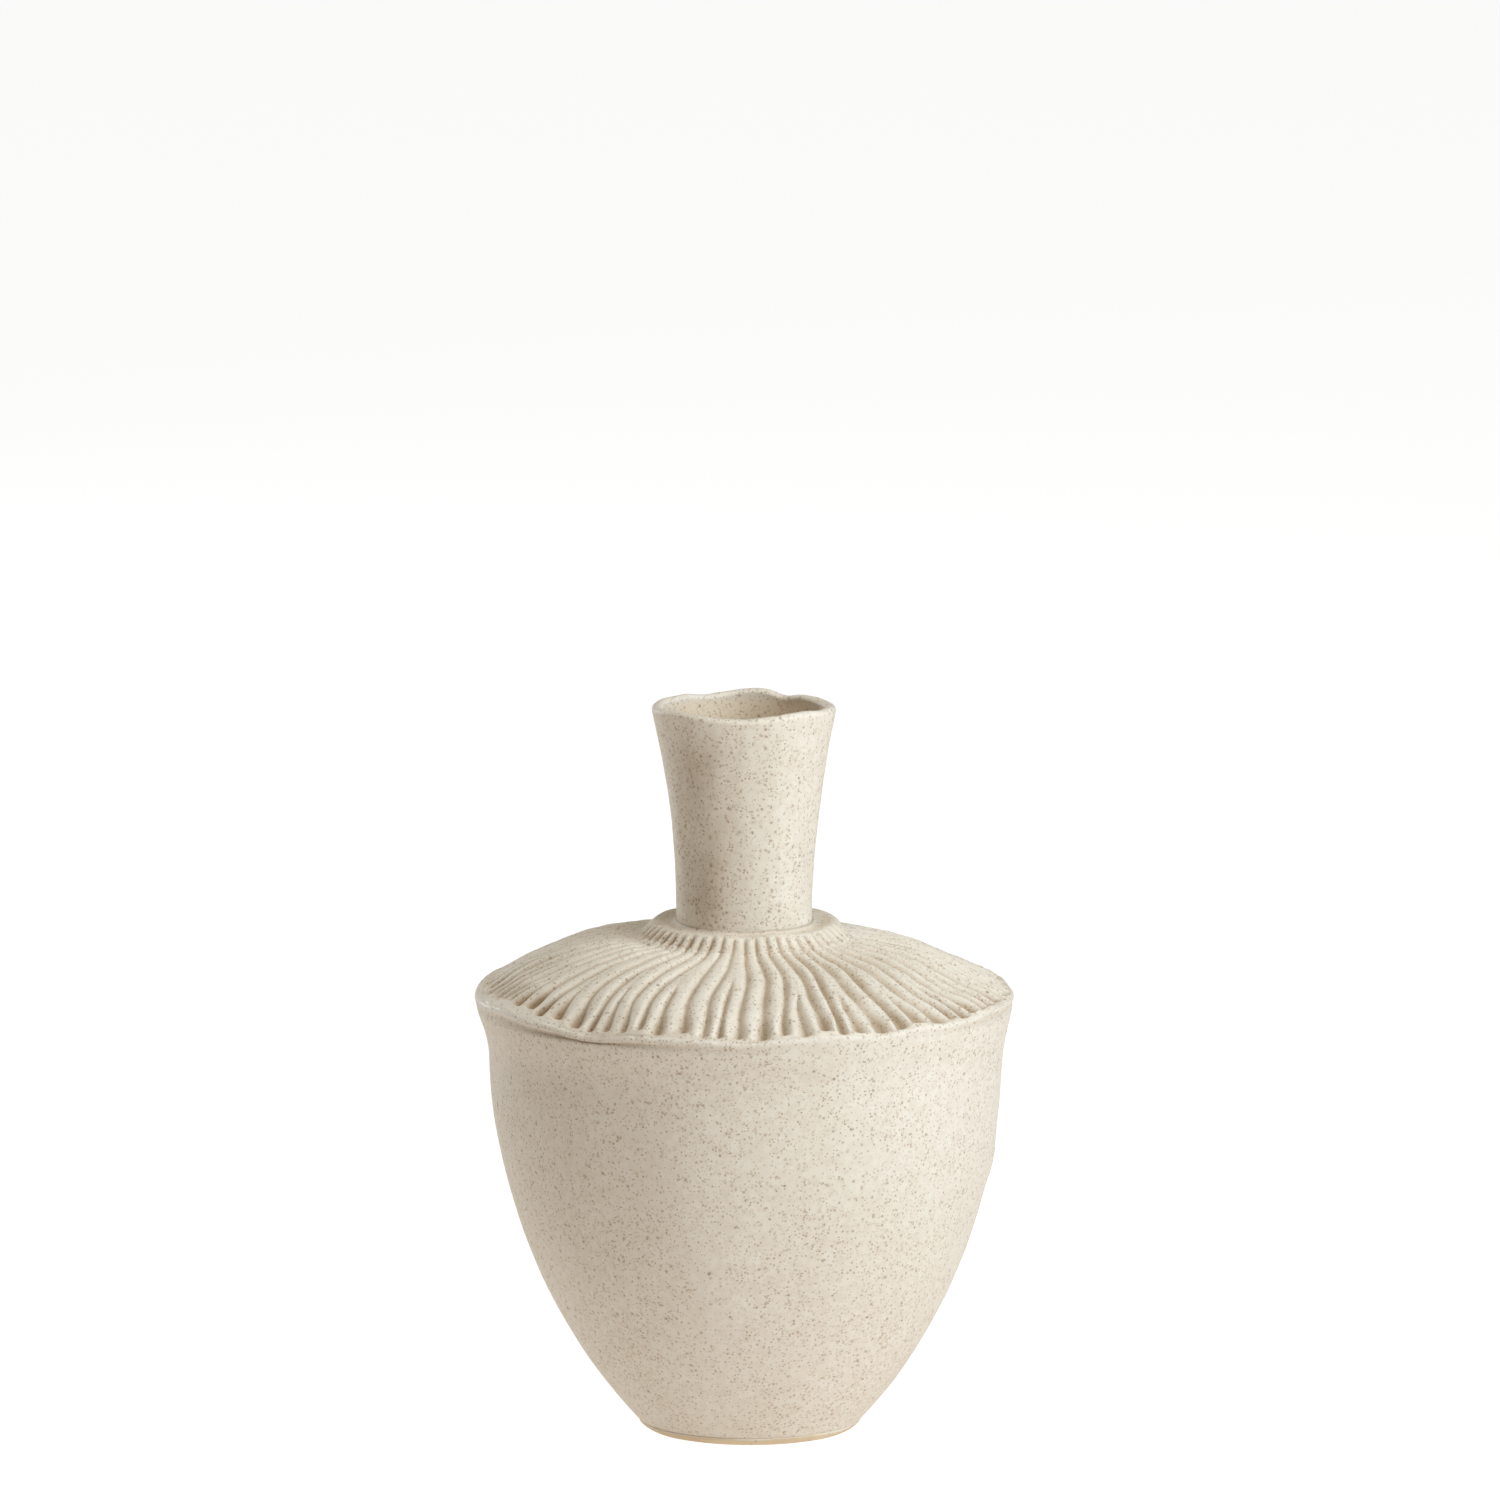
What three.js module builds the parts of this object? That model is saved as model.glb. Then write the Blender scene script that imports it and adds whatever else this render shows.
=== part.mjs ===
// Hand-built stoneware vase: a round bowl on a slab foot, a wavy gilled shoulder and a flared neck in a ring.
// Millimetres, +Z up, origin at the centre of the resting face, front along -Y.
import * as THREE from "three";
import { mergeVertices } from "three/addons/utils/BufferGeometryUtils.js";

// ---- overall sizes ---------------------------------------------------------------------------------------
const FOOT_R = 44.4; // outside of the foot, where the glaze stops
const WALL_R = 102; // outside of the upright wall below its flare
const RIM_Z = 171; // top of the bowl wall, where the shoulder is laid on
const DOME_RISE = 28; // bowl rim up to the flat land round the neck
const NECK_R = 27.1; // outside of the neck at its narrowest
const NECK_RISE = 91.4; // land up to the lip
const MOUTH_R = 36.5; // outside of the flared lip
const LEAN = -2.3; // the pot leans this far over by its rim

// ---- clay thicknesses ------------------------------------------------------------------------------------
const SLIP_GAP = 0.3; // slip seam left between neighbouring walls
const SMEARED_GAP = 0.45; // the same seam behind a coil that follows a faceted wall
const WALL_T = 4.8;
const CAP_T = 6.6;
const NECK_T = 3.4;
const LIP_T = 3.3;

// ---- foot slab -------------------------------------------------------------------------------------------
const BEVEL_IN = 5.1; // how far the rounded edge cuts in under the foot
const BEVEL_H = 3.3;
const SEAT_Z = 3.8; // ledge the bowl wall stands on
const SEAT_WIDTH = 6.8;
const BOSS_H = 4.4; // raised middle of the slab, above the ledge

// ---- bowl rim and shoulder edge --------------------------------------------------------------------------
const FLARE = 3.4; // how far the bowl's top edge flares out
const FLARE_H = 12;
const RIM_T = 6.1; // the rim is thickened and has a straight lip inside
const RIM_LIP_H = 7;
const OVERHANG = 2; // shoulder edge beyond the bowl rim
const EDGE_RISE = 3.4; // bowl rim up to the widest line of the edge
const BAND_RISE = 5.7; // bowl rim up to the smooth band outside the grooves
const BAND_W = 6;
const GROOVES = 79; // counted round the edge
const LONG_GROOVES = 54; // those that reach the ring at the neck
const GROOVE_CUT = 1.1; // depth near the neck
const GROOVE_CUT_OUT = 1.6; // depth further out
const SCOOP_CUT = 1; // extra depth where the tool lifted off at the edge

// ---- neck and the ring round its foot --------------------------------------------------------------------
const SPIGOT_IN = 1.1; // the neck steps in by this much below its seat
const SPIGOT_H = 4.6;
const NECK_FLANGE = 3.1; // the neck spreads by this much on its seat
const RING_W = 13;
const RING_H = 5.4;
const RING_SLOPE_W = 5;
const RING_CUT = 1.2; // grooves down the ring's outer slope

// ---- coils smeared into the joints from the inside -------------------------------------------------------
const FOOT_COIL_W = 9;
const SHOULDER_COIL_W = 4.2;
const SHOULDER_COIL_DOWN = 5.4;
const SHOULDER_COIL_UP = 2.4;

// ---- worked out from the sizes above ---------------------------------------------------------------------
const BOSS_R = FOOT_R - SEAT_WIDTH;
const FLOOR_Z = SEAT_Z + BOSS_H;
const RIM_R = WALL_R + FLARE;
const RIM_IN_R = RIM_R - RIM_T;
const EDGE_R = RIM_R + OVERHANG;
const GROOVE_END_R = EDGE_R - BAND_W;
const BAND_Z = RIM_Z + BAND_RISE;
const LAND_Z = RIM_Z + DOME_RISE;
const LIP_Z = LAND_Z + NECK_RISE;
const SPIGOT_R = NECK_R - SPIGOT_IN;
const HOLE_R = SPIGOT_R + SLIP_GAP;
const BORE_R = SPIGOT_R - NECK_T + 0.2;
const NECK_FOOT_R = NECK_R + NECK_FLANGE;
const RING_FOOT_R = NECK_FOOT_R + RING_W;
const RING_TOP_R = RING_FOOT_R - RING_SLOPE_W;
const LAND_R = RING_FOOT_R + 0.2;

// ---- hand-made unevenness: [degrees round, millimetres, half width in degrees] ---------------------------
const EDGE_HEIGHT = [
  [-154, 1.5, 10], [-125.5, -2.6, 8], [-90, -0.8, 8], [-73, 1.0, 6], [-60, -0.8, 5], [-49, 1.3, 5],
  [-24, 1.3, 9], [6, -0.9, 8], [36, 1.0, 9], [64, -0.8, 8], [95, 0.9, 10], [128, -1.0, 9], [158, 1.0, 9],
  [184, -0.8, 8],
];
const EDGE_PLAN = [
  [-126, -0.7, 10], [-96, 0.4, 12], [-33, 0.4, 9], [19, 0.6, 6], [31, -0.7, 6], [75, 0.5, 12], [163, 0.7, 8],
];
const LIP_HEIGHT = [
  [-52, 2.2, 24], [-92, -1.3, 16], [-150, 0.6, 18], [18, -0.5, 16], [60, -1.2, 10], [80, 1.1, 9],
  [115, -1.0, 12], [140, 1.2, 13],
];
const LIP_PLAN = [[-60, 0.5, 20], [-100, -0.4, 14], [-165, 0.4, 18], [40, -0.4, 14], [95, 0.4, 14]];
// The same for the bowl wall, with the height of each swelling and its half height.
const WALL_SWELL = [
  [-5, 1.0, 26, 109, 10], [-2, 0.9, 28, 158, 9], [183, 0.5, 24, 128, 16], [250, 0.4, 14, 90, 40],
  [292, -0.4, 12, 100, 45],
];

// ---- materials -------------------------------------------------------------------------------------------
const fired = (color, roughness) => new THREE.MeshStandardMaterial({ color, roughness, metalness: 0 });
const bowlGlaze = fired(0xdfd4c0, 0.62);
const shoulderGlaze = fired(0xdbcfb9, 0.6);
const neckGlaze = fired(0xe2d8c6, 0.6);
const ringGlaze = fired(0xd9ccb4, 0.64);
const toastedClay = fired(0xc9b28c, 0.85);
const bareClay = fired(0xc4b296, 0.9);

// ---- helpers ---------------------------------------------------------------------------------------------
const radians = (degrees) => (degrees * Math.PI) / 180;
const wrapped = (degrees) => degrees - 360 * Math.round(degrees / 360);
const bell = (x) => Math.exp(-(x ** 2));
const leanAt = (z) => LEAN * Math.min(Math.max(z / RIM_Z, 0), 1);
const evenly = (count) => Array.from({ length: count }, (_, i) => -90 + (i * 360) / count);

function lobes(list, degrees) {
  return list.reduce((sum, [at, size, half]) => sum + size * bell(wrapped(degrees - at) / half), 0);
}

function ease(x) {
  const t = Math.min(Math.max(x, 0), 1);
  return t * t * (3 - 2 * t);
}

// Points along a cubic curve through [r, z] control points, ends included.
function curve(controls, steps) {
  const spline = new THREE.CubicBezierCurve(...controls.map(([r, z]) => new THREE.Vector2(r, z)));
  return spline.getPoints(steps).map((point) => [point.x, point.y]);
}

// The same line moved to its left, seen the way it runs, by a thickness.
function offset(line, thickness) {
  return line.map(([r, z], i) => {
    const [r0, z0] = line[Math.max(i - 1, 0)];
    const [r1, z1] = line[Math.min(i + 1, line.length - 1)];
    const length = Math.hypot(r1 - r0, z1 - z0);
    return [r - (thickness * (z1 - z0)) / length, z + (thickness * (r1 - r0)) / length];
  });
}

// One ring of points at these angles; radius and height are numbers or functions of the angle.
function ring(angles, r, z) {
  return angles.map((degrees, i) => {
    const radius = typeof r === "function" ? r(degrees, i) : r;
    const height = typeof z === "function" ? z(degrees, i) : z;
    const turn = radians(degrees);
    return [radius * Math.cos(turn) + leanAt(height), radius * Math.sin(turn), height];
  });
}

const onAxis = (z) => [[leanAt(z), 0, z]];

// Triangles between two rings, where one may have a whole number of points to each point of the other.
function skin(a, b) {
  if (a.length === 1) return b.map((point, i) => [a[0], b[(i + 1) % b.length], point]);
  if (b.length === 1) return a.map((point, i) => [point, a[(i + 1) % a.length], b[0]]);
  const count = Math.min(a.length, b.length);
  const [aEach, bEach] = [a.length / count, b.length / count];
  const triangles = [];
  for (let i = 0; i < count; i += 1) {
    const next = (i + 1) % count;
    for (let k = i * aEach; k < (i + 1) * aEach; k += 1) {
      triangles.push([a[k], a[(k + 1) % a.length], b[i * bEach]]);
    }
    for (let k = i * bEach; k < (i + 1) * bEach; k += 1) {
      triangles.push([a[next * aEach], b[(k + 1) % b.length], b[k]]);
    }
  }
  return triangles;
}

function signedVolume(triangles) {
  return triangles.reduce((sum, [p, q, r]) => {
    const [a, b, c] = [p, q, r].map((point) => new THREE.Vector3(...point));
    return sum + a.dot(b.cross(c)) / 6;
  }, 0);
}

// One closed body from a stack of rings: the last ring joins the first unless both ends lie on the axis.
function solid(name, rings, material) {
  const steps = rings[0].length === 1 ? rings.length - 1 : rings.length;
  let triangles = rings.slice(0, steps).flatMap((a, i) => skin(a, rings[(i + 1) % rings.length]));
  if (signedVolume(triangles) < 0) triangles = triangles.map(([a, b, c]) => [a, c, b]);
  const geometry = new THREE.BufferGeometry();
  geometry.setAttribute("position", new THREE.Float32BufferAttribute(triangles.flat(2), 3));
  const mesh = new THREE.Mesh(mergeVertices(geometry, 1e-4), material);
  mesh.name = name;
  return mesh;
}

const turned = (angles, outline) => outline.map(([r, z]) => ring(angles, r, z));

// ---- foot slab: rounded underneath, with a ledge for the wall round a raised middle ----------------------
function footDisc() {
  const outline = [
    [FOOT_R - BEVEL_IN, 0],
    [FOOT_R - BEVEL_IN * 0.43, BEVEL_H / 3],
    [FOOT_R, BEVEL_H],
    [FOOT_R, SEAT_Z],
    [BOSS_R, SEAT_Z],
    [BOSS_R, FLOOR_Z],
  ];
  return solid("foot_disc", [onAxis(0), ...turned(evenly(48), outline), onAxis(FLOOR_Z)], toastedClay);
}

// ---- bowl wall -------------------------------------------------------------------------------------------
const belly = curve(
  [
    [FOOT_R, SEAT_Z],
    [FOOT_R + 0.45 * (WALL_R - FOOT_R), RIM_Z * 0.182],
    [WALL_R * 0.986, RIM_Z * 0.491],
    [WALL_R, RIM_Z * 0.877],
  ],
  11,
);
const flare = [
  [WALL_R + FLARE * 0.18, RIM_Z - FLARE_H],
  [WALL_R + FLARE * 0.6, RIM_Z - FLARE_H * 0.46],
  [RIM_R, RIM_Z],
];
const hollow = offset(belly, WALL_T).filter(([, z]) => z > FLOOR_Z + 0.8 && z < RIM_Z - FLARE_H - 2);
const cornerR = hollow[0][0] - 0.93 * (hollow[0][1] - FLOOR_Z); // where the hollow meets the floor

function wallSwell(degrees, z) {
  const upright = ease((z - 30) / 40) * ease((RIM_Z - z) / 25);
  const facets = 0.22 * Math.sin(radians(7 * degrees + 40)) + 0.16 * Math.sin(radians(11 * degrees + 110));
  return WALL_SWELL.reduce(
    (sum, [at, size, half, middle, halfHeight]) =>
      sum + size * bell(wrapped(degrees - at) / half) * bell((z - middle) / halfHeight),
    upright * facets,
  );
}

function bowlWall() {
  const angles = evenly(60);
  const outside = [...belly, ...flare].map(([r, z]) => {
    const radius = (degrees) => r + wallSwell(degrees, z);
    return ring(angles, radius, z);
  });
  const inside = [
    [RIM_IN_R, RIM_Z],
    [RIM_IN_R, RIM_Z - RIM_LIP_H],
    ...hollow.toReversed(),
    [cornerR, FLOOR_Z],
    [BOSS_R + SLIP_GAP, FLOOR_Z],
    [BOSS_R + SLIP_GAP, SEAT_Z],
  ];
  return solid("bowl_wall", [...outside, ...turned(angles, inside)], bowlGlaze);
}

// ---- coils of clay smeared into the two joints from the inside -------------------------------------------
function footCoil() {
  const backR = cornerR - SMEARED_GAP;
  const [topR, topZ] = [hollow[0][0] - SMEARED_GAP, hollow[0][1]];
  const outline = [
    [backR - FOOT_COIL_W, FLOOR_Z],
    [backR, FLOOR_Z],
    [topR, topZ],
    [topR - 1.6, topZ + 0.2],
    [backR - FOOT_COIL_W * 0.4, FLOOR_Z + 2.3],
    [backR - FOOT_COIL_W * 0.8, FLOOR_Z + 1],
  ];
  return solid("foot_coil", turned(evenly(48), outline), bareClay);
}

function shoulderCoil() {
  const backR = RIM_IN_R - SMEARED_GAP;
  const outline = [
    [backR, RIM_Z - SHOULDER_COIL_DOWN],
    [backR, RIM_Z + SHOULDER_COIL_UP],
    [backR - SHOULDER_COIL_W * 0.52, RIM_Z + SHOULDER_COIL_UP - 0.2],
    [backR - SHOULDER_COIL_W * 0.95, RIM_Z + 0.2],
    [backR - SHOULDER_COIL_W, RIM_Z - 2],
    [backR - SHOULDER_COIL_W * 0.6, RIM_Z - SHOULDER_COIL_DOWN + 1],
  ];
  return solid("shoulder_coil", turned(evenly(48), outline), bareClay);
}

// ---- grooves of the shoulder -----------------------------------------------------------------------------
// Long ones run from the ring to the edge. Short ones open between them, part of the way out.
const shortShare = (GROOVES - LONG_GROOVES) / GROOVES;
const isShort = (i) => Math.floor((i + 1) * shortShare) > Math.floor(i * shortShare);
const shortStartR = (i) => LAND_R + (EDGE_R - LAND_R) * (0.44 + 0.17 * Math.sin(2.3 * i));

function grooveWidth(i, r) {
  const uneven = 0.16 * Math.sin(2.1 * i) + 0.16 * Math.sin(0.83 * i + 1);
  const width = 1 + uneven * ease((r - LAND_R) / 45);
  return isShort(i) ? width * (0.1 + 0.9 * ease((r - shortStartR(i) + 16) / 40)) : width;
}

// Degrees of the middle of every ridge at this radius, with the first again at the end.
function ridges(r) {
  const widths = Array.from({ length: GROOVES }, (_, i) => grooveWidth(i, r));
  const total = widths.reduce((sum, width) => sum + width);
  const starts = [-93];
  widths.forEach((width, i) => starts.push(starts[i] + (360 * width) / total));
  const sway = (i) => 1.3 * ease((r - LAND_R) / 30) * Math.sin(r / 26 + 0.3 * (i % GROOVES));
  return starts.map((degrees, i) => degrees + sway(i));
}

// Three points to a groove: its near side, its floor and its far side, with a broad ridge between grooves.
const GROOVE_POINTS = [0.27, 0.5, 0.73];
const isFloor = (k) => k % 3 === 1;

function grooveAngles(bounds) {
  return bounds.slice(0, -1).flatMap((start, i) => {
    const width = bounds[i + 1] - start;
    return GROOVE_POINTS.map((part) => start + part * width);
  });
}

function grooveDepth(i, r) {
  const run = ease((r - LAND_R) / 3) * (GROOVE_CUT + (GROOVE_CUT_OUT - GROOVE_CUT) * ease((r - LAND_R) / 45));
  const scoop = SCOOP_CUT * ease((r - GROOVE_END_R + 13) / 10);
  const opened = isShort(i) ? ease((r - shortStartR(i)) / 9) : 1;
  const end = ease((GROOVE_END_R - r) / 2);
  return opened * end * (run + scoop) * (1 + 0.18 * Math.sin(1.7 * i));
}

// ---- shoulder --------------------------------------------------------------------------------------------
const dome = curve(
  [
    [LAND_R, LAND_Z],
    [EDGE_R - 33, LAND_Z - DOME_RISE * 0.15],
    [EDGE_R - 12.4, RIM_Z + DOME_RISE * 0.51],
    [GROOVE_END_R + 0.4, BAND_Z + 0.9],
  ],
  9,
);
const nearEdge = (r) => ease((r - EDGE_R + 24) / 18);
const domeTilt = (degrees, r) =>
  -0.8 * Math.cos(radians(degrees)) * ease((r - LAND_R) / 12) * ease((GROOVE_END_R - r) / 12);

function shoulderCap() {
  const grooved = dome.map(([r, z], row) => {
    const height = (degrees, k) => {
      const cut = isFloor(k) ? grooveDepth(Math.floor(k / 3), r) : 0;
      return z - cut + domeTilt(degrees, r) + nearEdge(r) * lobes(EDGE_HEIGHT, degrees);
    };
    const radius = (degrees) => r + nearEdge(r) * lobes(EDGE_PLAN, degrees);
    return ring(grooveAngles(ridges(r)), radius, row === 0 ? LAND_Z : height);
  });
  const around = grooveAngles(ridges(GROOVE_END_R)).filter((_, k) => k % 3 === 0);
  const edge = [
    // radius, height, and how much of the edge's wave it takes
    [EDGE_R - BAND_W * 0.6, BAND_Z, 1],
    [EDGE_R - 0.9, BAND_Z - 0.7, 1],
    [EDGE_R, RIM_Z + EDGE_RISE, 0.7],
    [EDGE_R - 0.2, RIM_Z + EDGE_RISE * 0.35, 0.2],
    [RIM_R + 0.8, RIM_Z, 0],
  ].map(([r, z, share]) => {
    const height = (degrees) => z + share * lobes(EDGE_HEIGHT, degrees);
    return ring(around, (degrees) => r + lobes(EDGE_PLAN, degrees), height);
  });
  const ceiling = offset(dome, -CAP_T).filter(([r]) => r < RIM_IN_R - 4 && r > HOLE_R + 12);
  const under = [
    [RIM_IN_R, RIM_Z],
    [RIM_IN_R, RIM_Z + 2.8],
    ...ceiling.toReversed(),
    [HOLE_R, LAND_Z - SPIGOT_H],
    [HOLE_R, LAND_Z],
  ];
  return solid("shoulder_cap", [...grooved, ...edge, ...turned(around, under)], shoulderGlaze);
}

// ---- ring round the foot of the neck: its outer slope carries the tops of the long grooves ---------------
function neckCollar() {
  const starts = ridges(LAND_R).filter((_, i) => i < GROOVES && !isShort(i));
  const angles = grooveAngles([...starts, starts[0] + 360]);
  const around = angles.filter((_, k) => k % 3 === 0);
  const slope = [
    // radius, height above the land, depth of the grooves
    [RING_FOOT_R, 0, RING_CUT * 0.75],
    [RING_TOP_R + RING_SLOPE_W * 0.74, RING_H - 3.2, RING_CUT],
    [RING_TOP_R + RING_SLOPE_W * 0.46, RING_H - 1.1, RING_CUT * 0.75],
    [RING_TOP_R + RING_SLOPE_W * 0.12, RING_H, 0],
  ].map(([r, rise, cut]) => {
    return ring(angles, (degrees, k) => r - (isFloor(k) ? cut : 0), LAND_Z + rise);
  });
  const top = [
    [RING_TOP_R - 2.6, LAND_Z + RING_H + 0.1],
    [NECK_R + 4.4, LAND_Z + RING_H - 0.5],
    [NECK_R + SMEARED_GAP, LAND_Z + RING_H - 1],
    [NECK_FOOT_R + SMEARED_GAP, LAND_Z],
  ];
  return solid("neck_collar", [...slope, ...turned(around, top)], ringGlaze);
}

// ---- neck: a stub in the shoulder's hole, a spread foot under the ring, and a waved lip ------------------
function neckTube() {
  const outside = curve(
    [
      [NECK_R, LAND_Z + RING_H - 1],
      [NECK_R - 0.5, LAND_Z + NECK_RISE * 0.23],
      [NECK_R + 1.5, LAND_Z + NECK_RISE * 0.56],
      [MOUTH_R - 0.2, LIP_Z - 2.6],
    ],
    9,
  );
  const bore = curve(
    [
      [MOUTH_R - LIP_T, LIP_Z - 3],
      [NECK_R - 1.8, LAND_Z + NECK_RISE * 0.54],
      [NECK_R - NECK_T - 0.2, LAND_Z + NECK_RISE * 0.2],
      [BORE_R, LAND_Z - SPIGOT_H],
    ],
    8,
  );
  const lip = [
    [MOUTH_R, LIP_Z - 1.2],
    [MOUTH_R - LIP_T * 0.2, LIP_Z - 0.2],
    [MOUTH_R - LIP_T * 0.58, LIP_Z],
    [MOUTH_R - LIP_T * 0.94, LIP_Z - 0.9],
  ];
  const foot = [[SPIGOT_R, LAND_Z - SPIGOT_H], [SPIGOT_R, LAND_Z], [NECK_FOOT_R, LAND_Z]];
  const waved = (z) => ease((z - LIP_Z + 30) / 28);
  const rings = [...foot, ...outside, ...lip, ...bore].map(([r, z]) => {
    const radius = (degrees) => r + waved(z) * lobes(LIP_PLAN, degrees);
    return ring(evenly(48), radius, (degrees) => z + waved(z) ** 2 * lobes(LIP_HEIGHT, degrees));
  });
  return solid("neck_tube", rings, neckGlaze);
}

const vase = new THREE.Group();
vase.name = "stoneware_vase";
vase.add(footDisc(), bowlWall(), footCoil(), shoulderCoil(), shoulderCap(), neckCollar(), neckTube());
export default vase;
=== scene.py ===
"""Looks of a hand-built stoneware vase: cream iron-speckled glaze, gilled shoulder, waved lip, toasted foot.

Every visible piece is a fine closed skin turned round the vase's leaning axis, in metres. Each follows the
plain clay solid that it stands for, and adds what hands and tools leave behind: grooves with scooped ends,
soft dents, rolled edges and smeared joints. Angles are in degrees seen from above: 0 is the right side,
-90 the front, 90 the back and 180 the left side.
"""

import math

import bpy
import numpy as np
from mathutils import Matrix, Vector


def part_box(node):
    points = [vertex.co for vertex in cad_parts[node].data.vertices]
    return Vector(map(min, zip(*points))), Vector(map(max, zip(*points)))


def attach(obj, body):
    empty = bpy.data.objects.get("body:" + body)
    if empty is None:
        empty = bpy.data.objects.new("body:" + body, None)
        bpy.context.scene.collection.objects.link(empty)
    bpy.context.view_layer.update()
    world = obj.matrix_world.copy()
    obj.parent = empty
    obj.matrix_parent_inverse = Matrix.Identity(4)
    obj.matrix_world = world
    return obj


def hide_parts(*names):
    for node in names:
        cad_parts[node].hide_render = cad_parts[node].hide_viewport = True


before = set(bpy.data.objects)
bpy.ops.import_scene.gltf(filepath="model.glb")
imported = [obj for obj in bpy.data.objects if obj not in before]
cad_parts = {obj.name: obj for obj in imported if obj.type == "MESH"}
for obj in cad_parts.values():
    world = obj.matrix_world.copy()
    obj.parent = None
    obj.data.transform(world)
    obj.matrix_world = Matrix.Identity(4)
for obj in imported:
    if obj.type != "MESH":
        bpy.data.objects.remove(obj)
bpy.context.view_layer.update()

MM = 0.001
FULL_TURN = 360.0

_, foot_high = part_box("foot_disc")
wall_low, wall_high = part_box("bowl_wall")
ring_low, ring_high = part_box("neck_collar")
neck_low, neck_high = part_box("neck_tube")

# ---- sizes taken from the clay solids ----
LEAN = (ring_low.x + ring_high.x) / 2
FOOT_R = foot_high.y
FLOOR_Z = foot_high.z
SEAT_Z = wall_low.z
RIM_Z = wall_high.z
RIM_R = wall_high.y
LAND_Z = ring_low.z
RING_FOOT_R = (ring_high.x - ring_low.x) / 2
STUB_Z = neck_low.z
MOUTH_R = (neck_high.x - neck_low.x) / 2 - 0.1 * MM
LIP_Z = LAND_Z + 92.8 * MM

# ---- clay sizes, with the same fits as the solids ----
FLARE = 3.4 * MM
WALL_R = RIM_R - FLARE
RIM_IN_R = RIM_R - 6.1 * MM
RIM_OUT_R = RIM_R + 1.1 * MM
EDGE_R = RIM_R + 2.0 * MM
BOSS_R = FOOT_R - 6.8 * MM
SLIP_GAP = 0.3 * MM
WALL_T = 4.8 * MM
CAP_T = 6.6 * MM
NECK_R = RING_FOOT_R - 16.1 * MM
STUB_R = NECK_R - 1.1 * MM
NECK_FOOT_R = NECK_R + 3.1 * MM
NECK_T = 3.4 * MM
LIP_W = 4.6 * MM
RING_TOP_R = RING_FOOT_R - 5.0 * MM
RING_H = 5.4 * MM
LAND_R = RING_FOOT_R + 0.2 * MM
GROOVES = 79
LONG_GROOVES = 54
GROOVE_END_R = EDGE_R - 6.0 * MM
GILL_END_R = EDGE_R - 1.7 * MM

# ---- how finely the skins are made ----
FOOT_COLUMNS = 300
BOWL_COLUMNS = 480
COIL_COLUMNS = 360
NECK_COLUMNS = 400
DOME_ROWS = 70
MIDDLE_R = 0.6 * MM
MAP_MARGIN = 0.006

# ---- hand-made unevenness: degrees round, millimetres, half width in degrees ----
EDGE_HEIGHT = [
    (-154, 1.5, 10), (-125.5, -2.6, 8), (-90, -0.8, 8), (-73, 1.0, 6), (-60, -0.8, 5), (-49, 1.3, 5),
    (-24, 1.3, 9), (6, -0.9, 8), (36, 1.0, 9), (64, -0.8, 8), (95, 0.9, 10), (128, -1.0, 9), (158, 1.0, 9),
    (184, -0.8, 8),
]
EDGE_PLAN = [
    (-126, -0.7, 10), (-96, 0.4, 12), (-33, 0.4, 9), (19, 0.6, 6), (31, -0.7, 6), (75, 0.5, 12),
    (163, 0.7, 8),
]
EDGE_OVERHANG = [(-128, 1.0, 24), (-22, 0.45, 22), (130, 0.4, 50)]
LIP_HEIGHT = [
    (-52, 1.5, 22), (-94, -0.3, 14), (-140, 0.9, 20), (18, -0.6, 16), (60, -1.3, 10), (80, 1.0, 10),
    (115, -1.1, 12), (140, 0.1, 13),
]
LIP_PLAN = [(-60, 0.5, 20), (-100, -0.4, 14), (-165, 0.4, 18), (40, -0.4, 14), (95, 0.4, 14)]
RING_HEIGHT = [(30, 1.3, 26), (80, 0.9, 24), (142, 1.0, 30), (-60, 0.2, 20), (-112, -0.2, 20)]
# the same, then the height of the swelling's middle and its half height, both in millimetres
WALL_SWELL = [
    (-5, 1.0, 26, 109, 10), (-2, 0.9, 28, 158, 9), (183, 0.5, 24, 128, 16), (250, 0.4, 14, 90, 40),
    (292, -0.4, 12, 100, 45),
]

# ---- where the hand worked differently, and where shade or a highlight is painted: degrees round and half width in degrees ----
# the smeared rim also places a painted highlight; the deep gills and ring cuts also place painted shade; the
# neck's band is only painted shade
SMEARED_RIM_AND_PAINTED_HIGHLIGHT = (-162, 34)
DEEP_GILLS_AND_PAINTED_SHADE = (-154, 30)
DEEP_RING_CUTS_AND_PAINTED_SHADE = (-142, 34)
NECK_PAINTED_SHADE = (-120, 20)
PINCH_AT, PINCH_HALF, PINCH_DEGREES_PER_METRE = -142, 12, 60
PINCH_SHOULDER = (-88, 20)


# ---- curves and unevenness ----
def ease(x):
    """0 below 0 and 1 above 1, with a smooth rise between."""
    t = np.clip(x, 0.0, 1.0)
    return t * t * (3.0 - 2.0 * t)


def bell(x):
    """1 at 0, falling away smoothly on both sides."""
    return np.exp(-(x**2))


def away(degrees, centre):
    """Degrees from centre, between -180 and 180."""
    return (degrees - centre + 180.0) % FULL_TURN - 180.0


def near(degrees, spot):
    """1 at the spot's angle, falling away over its half width."""
    centre, half = spot
    return bell(away(degrees, centre) / half)


def lobes(table, degrees):
    """Sum of a table's swellings at these angles, in metres."""
    return sum(size * MM * bell(away(degrees, at) / half) for at, size, half in table)


def curve(a, b, c, d, count):
    """Points along a cubic curve from a to d, as rows of radius and height."""
    t = np.linspace(0.0, 1.0, count)[:, None]
    a, b, c, d = (np.array(p, float) for p in (a, b, c, d))
    return (1 - t) ** 3 * a + 3 * (1 - t) ** 2 * t * b + 3 * (1 - t) * t**2 * c + t**3 * d


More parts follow.
